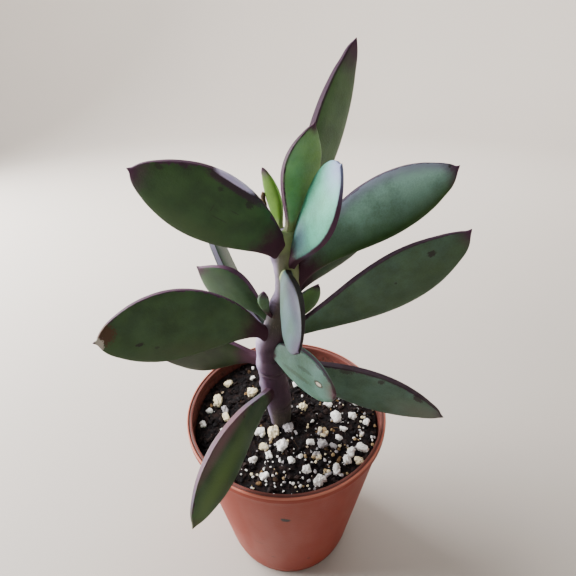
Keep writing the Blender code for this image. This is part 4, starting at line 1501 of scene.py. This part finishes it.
def leaf_material(name, skin, settings, seed):
    """One leaf's material: the shared skin with the leaf's own values."""
    young = skin.slot == "young_leaf"
    material, tree, shader = new_material(
        name + "_skin", Specular_IOR_Level=0.3,
        Subsurface_Weight=0.12 if young else 0.05, Subsurface_Scale=1.5 * MM)
    shader.inputs["Subsurface Radius"].default_value = (0.6, 1.0, 0.25)
    green = blend_color(blend_color(settings.deep, settings.fresh, skin.fresh), settings.olive,
                        skin.olive)
    bloom = blend_color(blend_color(settings.bloom, settings.mint, skin.mint), settings.slate,
                        skin.slate)
    values = {
        "Green": darker(green, skin.dim), "Bloom": bloom,
        "Purple": settings.purple, "Veil color": settings.veil,
        "Stalk color": tuple(settings.neck if name in YOUNG_STALKS else settings.maroon),
        "Edge": tuple(settings.cream if name == "leaf_young" else settings.edge),
        "Seed": seed, **{key: getattr(skin, key.lower()) for key in SKIN_VALUES},
    }
    out = place_group(tree, "Leaf skin", values)
    color = out["Color"]
    on_blade = attribute(tree, "leaf_place").outputs["Vector"]
    edge = add(tree, "SeparateXYZ", {0: attribute(tree, "leaf_edge").outputs["Vector"]})
    across = attribute(tree, "leaf_across").outputs["Fac"]
    at_margin = add(tree, "CombineXYZ", {0: edge.outputs[0], 1: edge.outputs[1],
                                         2: product(tree, across, 10.0)}).outputs[0]
    marks = [(on_blade, *mark) for mark in LEAF_MARKS.get(name, [])]
    marks += [(at_margin, *mark) for mark in MARGIN_MARKS.get(name, [])]
    for place, center, size, ragged, tint, share in marks:
        values = {"Place": place, "Center": center, "Size": size, "Ragged": ragged,
                  "Soft": 0.25 if ragged else 1.0}
        color = marked(tree, color, values, tint, share)
    tree.links.new(color, shader.inputs["Base Color"])
    gloss = step(tree, out["Purple"], 0.0, 1.0, settings.roughness + 0.12 * skin.haze,
                 settings.roughness + 0.22)
    tree.links.new(gloss, shader.inputs["Roughness"])
    link_bump(tree, shader, out["Height"], 0.09 * MM)
    return material


YOUNG_STALKS = ("leaf_young", "leaf_top_young", "leaf_front")

# Marks on single leaves: place along, across and through, half sizes in mm, raggedness (0 is
# a soft blush), tint and strength
DARK_MARK = (0.022, 0.014, 0.018)
# A painted highlight: the lavender of a lit sliver seen past a margin
LAVENDER_HIGHLIGHT = (0.66, 0.57, 0.92)
LEAF_MARKS = {
    "leaf_upper_left": [
        ((50.5, 5.5, 0), (1.3, 0.9, 9), 1.2, DARK_MARK, 0.6),
        ((44, 9.0, 0), (2.2, 0.8, 9), 1.4, DARK_MARK, 0.4),
        ((24, 3.0, 0), (1.8, 0.16, 9), 0.5, DARK_MARK, 0.55),
        ((31, 1.0, 0), (0.18, 1.5, 9), 0.5, DARK_MARK, 0.45),
        ((27, -1.5, 0), (3.4, 0.18, 9), 0.6, DARK_MARK, 0.55),
        # A lighter green over the lower half: painted light
        ((34, -9.0, 0), (24, 5.5, 12), 0, (0.056, 0.105, 0.036), 0.7),
    ],
    "leaf_mid_left": [
        ((65.0, 2.0, 0), (3.6, 3.6, 9), 1.4, (0.085, 0.040, 0.022), 0.9),
        ((66.8, -1.0, 0), (1.5, 2.6, 9), 1.2, (0.55, 0.52, 0.46), 0.85),
        ((54, -4.0, 0), (1.5, 0.7, 9), 1.4, DARK_MARK, 0.8),
        ((48, -6.5, 0), (1.0, 0.5, 9), 1.4, DARK_MARK, 0.6),
        # A lighter green over the lower half: painted light
        ((36, -9.0, 0), (26, 5.5, 12), 0, (0.062, 0.080, 0.038), 0.6),
    ],
    "leaf_mid_right": [((68, 3.5, 0), (1.6, 1.3, 9), 1.6, DARK_MARK, 0.85)],
    "leaf_over_rim": [
        # A bright green band along the middle: painted light shining through the blade
        ((47, -0.5, 0), (28, 6.4, 12), 0, (0.105, 0.185, 0.050), 0.9),
        ((34, 9.0, 0), (28, 3.6, 9), 0, (0.200, 0.100, 0.120), 0.9),
    ],
    "leaf_top_front": [
        ((43, 0, 0), (9, 12, 9), 0, (0.20, 0.25, 0.42), 0.85),
        ((14, 0, 0), (8, 9, 9), 0, (0.12, 0.15, 0.26), 0.75),
    ],
    "leaf_front": [
        # The upper half darkened as painted shade
        ((24, 6.2, 0), (28, 5.6, 9), 0, (0.012, 0.006, 0.034), 1.0),
        ((40, 0, 0), (6, 8, 9), 0, (0.060, 0.050, 0.085), 0.85),
    ],
    "leaf_low_front": [
        ((28.5, 1.0, 2), (2.3, 1.5, 6), 0.9, (0.06, 0.035, 0.025), 0.85),
        ((28.5, 1.0, 2), (1.4, 0.8, 6), 0.6, (0.62, 0.56, 0.46), 0.95),
        ((35.0, 0.5, 0), (5, 7, 9), 0, (0.115, 0.070, 0.065), 0.6),
        ((16, -2.0, 0), (9, 1.2, 9), 1.2, (0.045, 0.050, 0.030), 0.45),
        ((21, 3.0, 0), (4, 1.0, 9), 1.4, (0.030, 0.040, 0.030), 0.5),
    ],
    "leaf_low_right": [((66, -1.0, 0), (20, 9, 9), 0, (0.150, 0.165, 0.135), 0.7)],
}
# Marks beside an upper margin: place in from it, back from the tip and ten times the place
# across, half sizes in mm, raggedness, tint and strength
MARGIN_MARKS = {
    "leaf_upper_left": [
        ((1.0, 30.0, 10), (2.7, 10.5, 6), 0.5, (0.040, 0.016, 0.036), 0.9),
        # Painted highlight: the far face's lit sliver past the upper margin
        ((0.0, 29.0, 10), (1.3, 6.8, 4), 0.15, LAVENDER_HIGHLIGHT, 1.0),
        ((3.6, 36.5, 10), (1.4, 1.6, 9), 1.3, DARK_MARK, 0.7),
        ((4.6, 26.0, 10), (1.0, 1.0, 9), 1.3, DARK_MARK, 0.5),
    ],
    # Painted shade on leaf_front's squared upper edge
    "leaf_front": [((0, 21, 10.3), (9, 34, 0.6), 0.02, (0.020, 0.016, 0.015), 0.95)],
    "leaf_top": [((0, 30, 10), (0.8, 48, 5), 0.1, (0.034, 0.011, 0.030), 0.75)],
    "leaf_top_young": [((0, 14, 10), (0.6, 24, 5), 0.1, (0.045, 0.014, 0.034), 0.7)],
    "leaf_mid_right": [((0, 36, 10), (0.5, 44, 5), 0.1, (0.040, 0.013, 0.034), 0.6)],
    "leaf_low_right": [
        ((0, 30, 10), (0.7, 40, 6), 0.1, (0.030, 0.010, 0.024), 0.7),
        ((1.5, 14.0, 10), (1.6, 2.4, 9), 1.6, (0.030, 0.012, 0.020), 0.8),
        ((2.0, 30.0, 10), (1.2, 1.4, 9), 1.6, (0.030, 0.012, 0.020), 0.7),
        ((1.0, 44.0, 10), (1.6, 3.0, 9), 1.6, (0.030, 0.012, 0.020), 0.6),
    ],
}


def make_dried_bud():
    """The dried brown scale behind the youngest leaf."""
    lumps = Lumps()
    lumps.add((-5.8 * MM, 3.6 * MM, 186.0 * MM), 1.5 * MM, (0.55, 0.5, 1.5), 0.4, 4,
              [(1.6, 0.35), (4.0, 0.25)], 0.0, square=0.3)
    lumps.add((-5.0 * MM, 3.4 * MM, 183.2 * MM), 0.9 * MM, (0.5, 0.5, 1.9), 0.0, 4,
              [(1.6, 0.3), (4.0, 0.2)], 0.0)
    material, tree, shader = new_material("dried_bud", Roughness=0.8)
    in_mm = place_in_mm(tree)
    color = mix(tree, step(tree, speckle(tree, in_mm, 1.4, 4.0, 0.65), 0.35, 0.65),
                (0.030, 0.014, 0.010), (0.20, 0.11, 0.06))
    tree.links.new(color, shader.inputs["Base Color"])
    new_piece("dried_bud", lumps.mesh("dried_bud", "bud_shade"), material)


def make_leaves(leaves, settings):
    """All leaves of one group."""
    for i, (name, leaf) in enumerate(leaves.items()):
        skin = SKINS[name]
        material = leaf_material(name, skin, settings, 3.7 * i + leaf.length / MM)
        make_leaf(name, leaf, material)


# Stage

CAMERA_PLACE = (0.0003, -0.1373, 0.2395)
CAMERA_PITCH = 32.7
CAMERA_ROLL = -1.54
CAMERA_LENS = 26.9
CAMERA_SHIFT = (0.0078, 0.0009)
CAMERA_SENSOR = 36
FLOOR_BEND = 0.45
BACKDROP_HEIGHT = 1.1
FLOOR_SEGMENTS = 96
LIGHT_AIM = (0, 0, 0.13)
# Each light's setting, place, aim, width and height, and colour
LIGHTS = {
    "window": ("key", (-0.62, 0.22, 0.40), LIGHT_AIM, (0.7, 0.7), (1.0, 0.99, 0.98)),
    "high_fill": ("fill", (0.05, -0.42, 1.0), LIGHT_AIM, (0.8, 0.8), (1.0, 0.97, 0.95)),
    "backdrop_light": ("back", (0.1, 0.45, 0.75), (0.1, 1.2, 0.1), (1.2, 0.4), (1.0, 0.98, 0.96)),
}
ROOM_COLOR = (0.90, 0.94, 1.0, 1)


def make_floor(settings):
    """A pale floor that curves up all round into a backdrop."""
    material, tree, shader = new_material("studio_floor", Roughness=0.8)
    place = add(tree, "TexCoord").outputs["Object"]
    cloud = speckle(tree, place, 2.5, 2.0, 0.5)
    color = mix(tree, step(tree, cloud, 0.3, 0.7), settings.floor, darker(settings.floor, 0.97))
    tree.links.new(color, shader.inputs["Base Color"])
    profile = [(0.5 * MM, 0), (0.3 * settings.radius, 0), (settings.radius, 0)]
    for i in range(1, 13):
        a = math.radians(90 * i / 12)
        profile.append((settings.radius + FLOOR_BEND * math.sin(a),
                        FLOOR_BEND * (1 - math.cos(a))))
    profile.append((settings.radius + FLOOR_BEND, BACKDROP_HEIGHT))
    angles = np.arange(FLOOR_SEGMENTS) * math.tau / FLOOR_SEGMENTS
    bm = bmesh.new()
    loops = [[bm.verts.new((radius * math.cos(a), radius * math.sin(a), z)) for a in angles]
             for radius, z in profile]
    join_loops(bm, loops)
    bm.faces.new(loops[0])
    mesh = bpy.data.meshes.new("floor")
    bm.to_mesh(mesh)
    bm.free()
    mesh.materials.append(material)
    mesh.shade_smooth()
    floor = bpy.data.objects.new("floor", mesh)
    bpy.context.scene.collection.objects.link(floor)


def add_light(name, place, aim, size, power, color):
    """A soft rectangular light that faces a point."""
    light = bpy.data.lights.new(name, "AREA")
    light.shape = "RECTANGLE"
    light.size, light.size_y = size
    light.energy = power
    light.color = color
    obj = bpy.data.objects.new(name, light)
    obj.location = place
    obj.rotation_euler = (Vector(aim) - Vector(place)).to_track_quat("-Z", "Y").to_euler()
    bpy.context.scene.collection.objects.link(obj)


def make_stage(settings):
    """Camera, floor, soft lights and the light of the room."""
    camera = bpy.data.cameras.new("camera")
    camera.lens = CAMERA_LENS
    camera.sensor_width = CAMERA_SENSOR
    camera.shift_x, camera.shift_y = CAMERA_SHIFT
    camera.clip_start = 0.01
    obj = bpy.data.objects.new("camera", camera)
    obj.matrix_world = (Matrix.Translation(CAMERA_PLACE)
                        @ Matrix.Rotation(math.radians(90 - CAMERA_PITCH), 4, "X")
                        @ Matrix.Rotation(math.radians(CAMERA_ROLL), 4, "Z"))
    bpy.context.scene.collection.objects.link(obj)
    bpy.context.scene.camera = obj
    make_floor(settings)
    for name, (power, place, aim, size, color) in LIGHTS.items():
        add_light(name, place, aim, size, getattr(settings, power), color)
    world = bpy.data.worlds.new("room")
    bpy.context.scene.world = world
    world.use_nodes = True
    background = world.node_tree.nodes["Background"]
    background.inputs["Color"].default_value = ROOM_COLOR
    background.inputs["Strength"].default_value = settings.sky


# Add-on

class SENECIO_OT_stage(bpy.types.Operator):
    """Make the floor, the lights and the camera"""
    bl_idname = "senecio.stage"
    bl_label = "Stage"

    def execute(self, context):
        make_stage(context.scene.senecio_stage)
        return {"FINISHED"}


class SENECIO_OT_pot(bpy.types.Operator):
    """Make the pot"""
    bl_idname = "senecio.pot"
    bl_label = "Pot"

    def execute(self, context):
        make_pot(context.scene.senecio_pot)
        return {"FINISHED"}


class SENECIO_OT_soil(bpy.types.Operator):
    """Make the ground, with its crumbs and fibres"""
    bl_idname = "senecio.soil"
    bl_label = "Soil"

    def execute(self, context):
        settings = context.scene.senecio_soil
        make_soil(settings)
        make_crumbs(settings)
        make_fibres(settings)
        return {"FINISHED"}


class SENECIO_OT_grains(bpy.types.Operator):
    """Make the white grains and the grit"""
    bl_idname = "senecio.grains"
    bl_label = "White grains"

    def execute(self, context):
        make_grains()
        return {"FINISHED"}


class SENECIO_OT_stem(bpy.types.Operator):
    """Make the stem"""
    bl_idname = "senecio.stem"
    bl_label = "Stem"

    def execute(self, context):
        make_stem(context.scene.senecio_stem)
        return {"FINISHED"}


class SENECIO_OT_blades(bpy.types.Operator):
    """Make the grown leaves"""
    bl_idname = "senecio.blades"
    bl_label = "Leaves"

    def execute(self, context):
        make_leaves(BLADES, context.scene.senecio_leaves)
        return {"FINISHED"}


class SENECIO_OT_young_growth(bpy.types.Operator):
    """Make the young leaf at the tip and the two side shoots"""
    bl_idname = "senecio.young_growth"
    bl_label = "Young growth"

    def execute(self, context):
        make_leaves(YOUNG_GROWTH, context.scene.senecio_leaves)
        make_dried_bud()
        return {"FINISHED"}


OPERATORS = (SENECIO_OT_stage, SENECIO_OT_pot, SENECIO_OT_soil, SENECIO_OT_grains,
             SENECIO_OT_stem, SENECIO_OT_blades, SENECIO_OT_young_growth)
SETTINGS = {
    "senecio_stage": StageSettings,
    "senecio_pot": PotSettings,
    "senecio_soil": SoilSettings,
    "senecio_stem": StemSettings,
    "senecio_leaves": LeafSettings,
}


class SENECIO_PT_panel(bpy.types.Panel):
    """Lists the pieces and their settings"""
    bl_idname = "SENECIO_PT_panel"
    bl_label = "Potted senecio"
    bl_space_type = "VIEW_3D"
    bl_region_type = "UI"
    bl_category = "Senecio"

    def draw(self, context):
        for operator in OPERATORS:
            self.layout.operator(operator.bl_idname)
        for name, group in SETTINGS.items():
            box = self.layout.box()
            box.label(text=group.__doc__)
            for key in group.__annotations__:
                box.prop(getattr(context.scene, name), key)


def register():
    """Registers the settings, the operators and the panel."""
    for name, group in SETTINGS.items():
        bpy.utils.register_class(group)
        setattr(bpy.types.Scene, name, bpy.props.PointerProperty(type=group))
    for operator in OPERATORS:
        bpy.utils.register_class(operator)
    bpy.utils.register_class(SENECIO_PT_panel)


def unregister():
    """Takes them away again."""
    bpy.utils.unregister_class(SENECIO_PT_panel)
    for operator in reversed(OPERATORS):
        bpy.utils.unregister_class(operator)
    for name, group in SETTINGS.items():
        delattr(bpy.types.Scene, name)
        bpy.utils.unregister_class(group)


def main():
    """Makes every piece in order."""
    register()
    bpy.ops.senecio.stage()
    bpy.ops.senecio.pot()
    bpy.ops.senecio.soil()
    bpy.ops.senecio.grains()
    bpy.ops.senecio.stem()
    bpy.ops.senecio.blades()
    bpy.ops.senecio.young_growth()


if __name__ == "__main__":
    main()
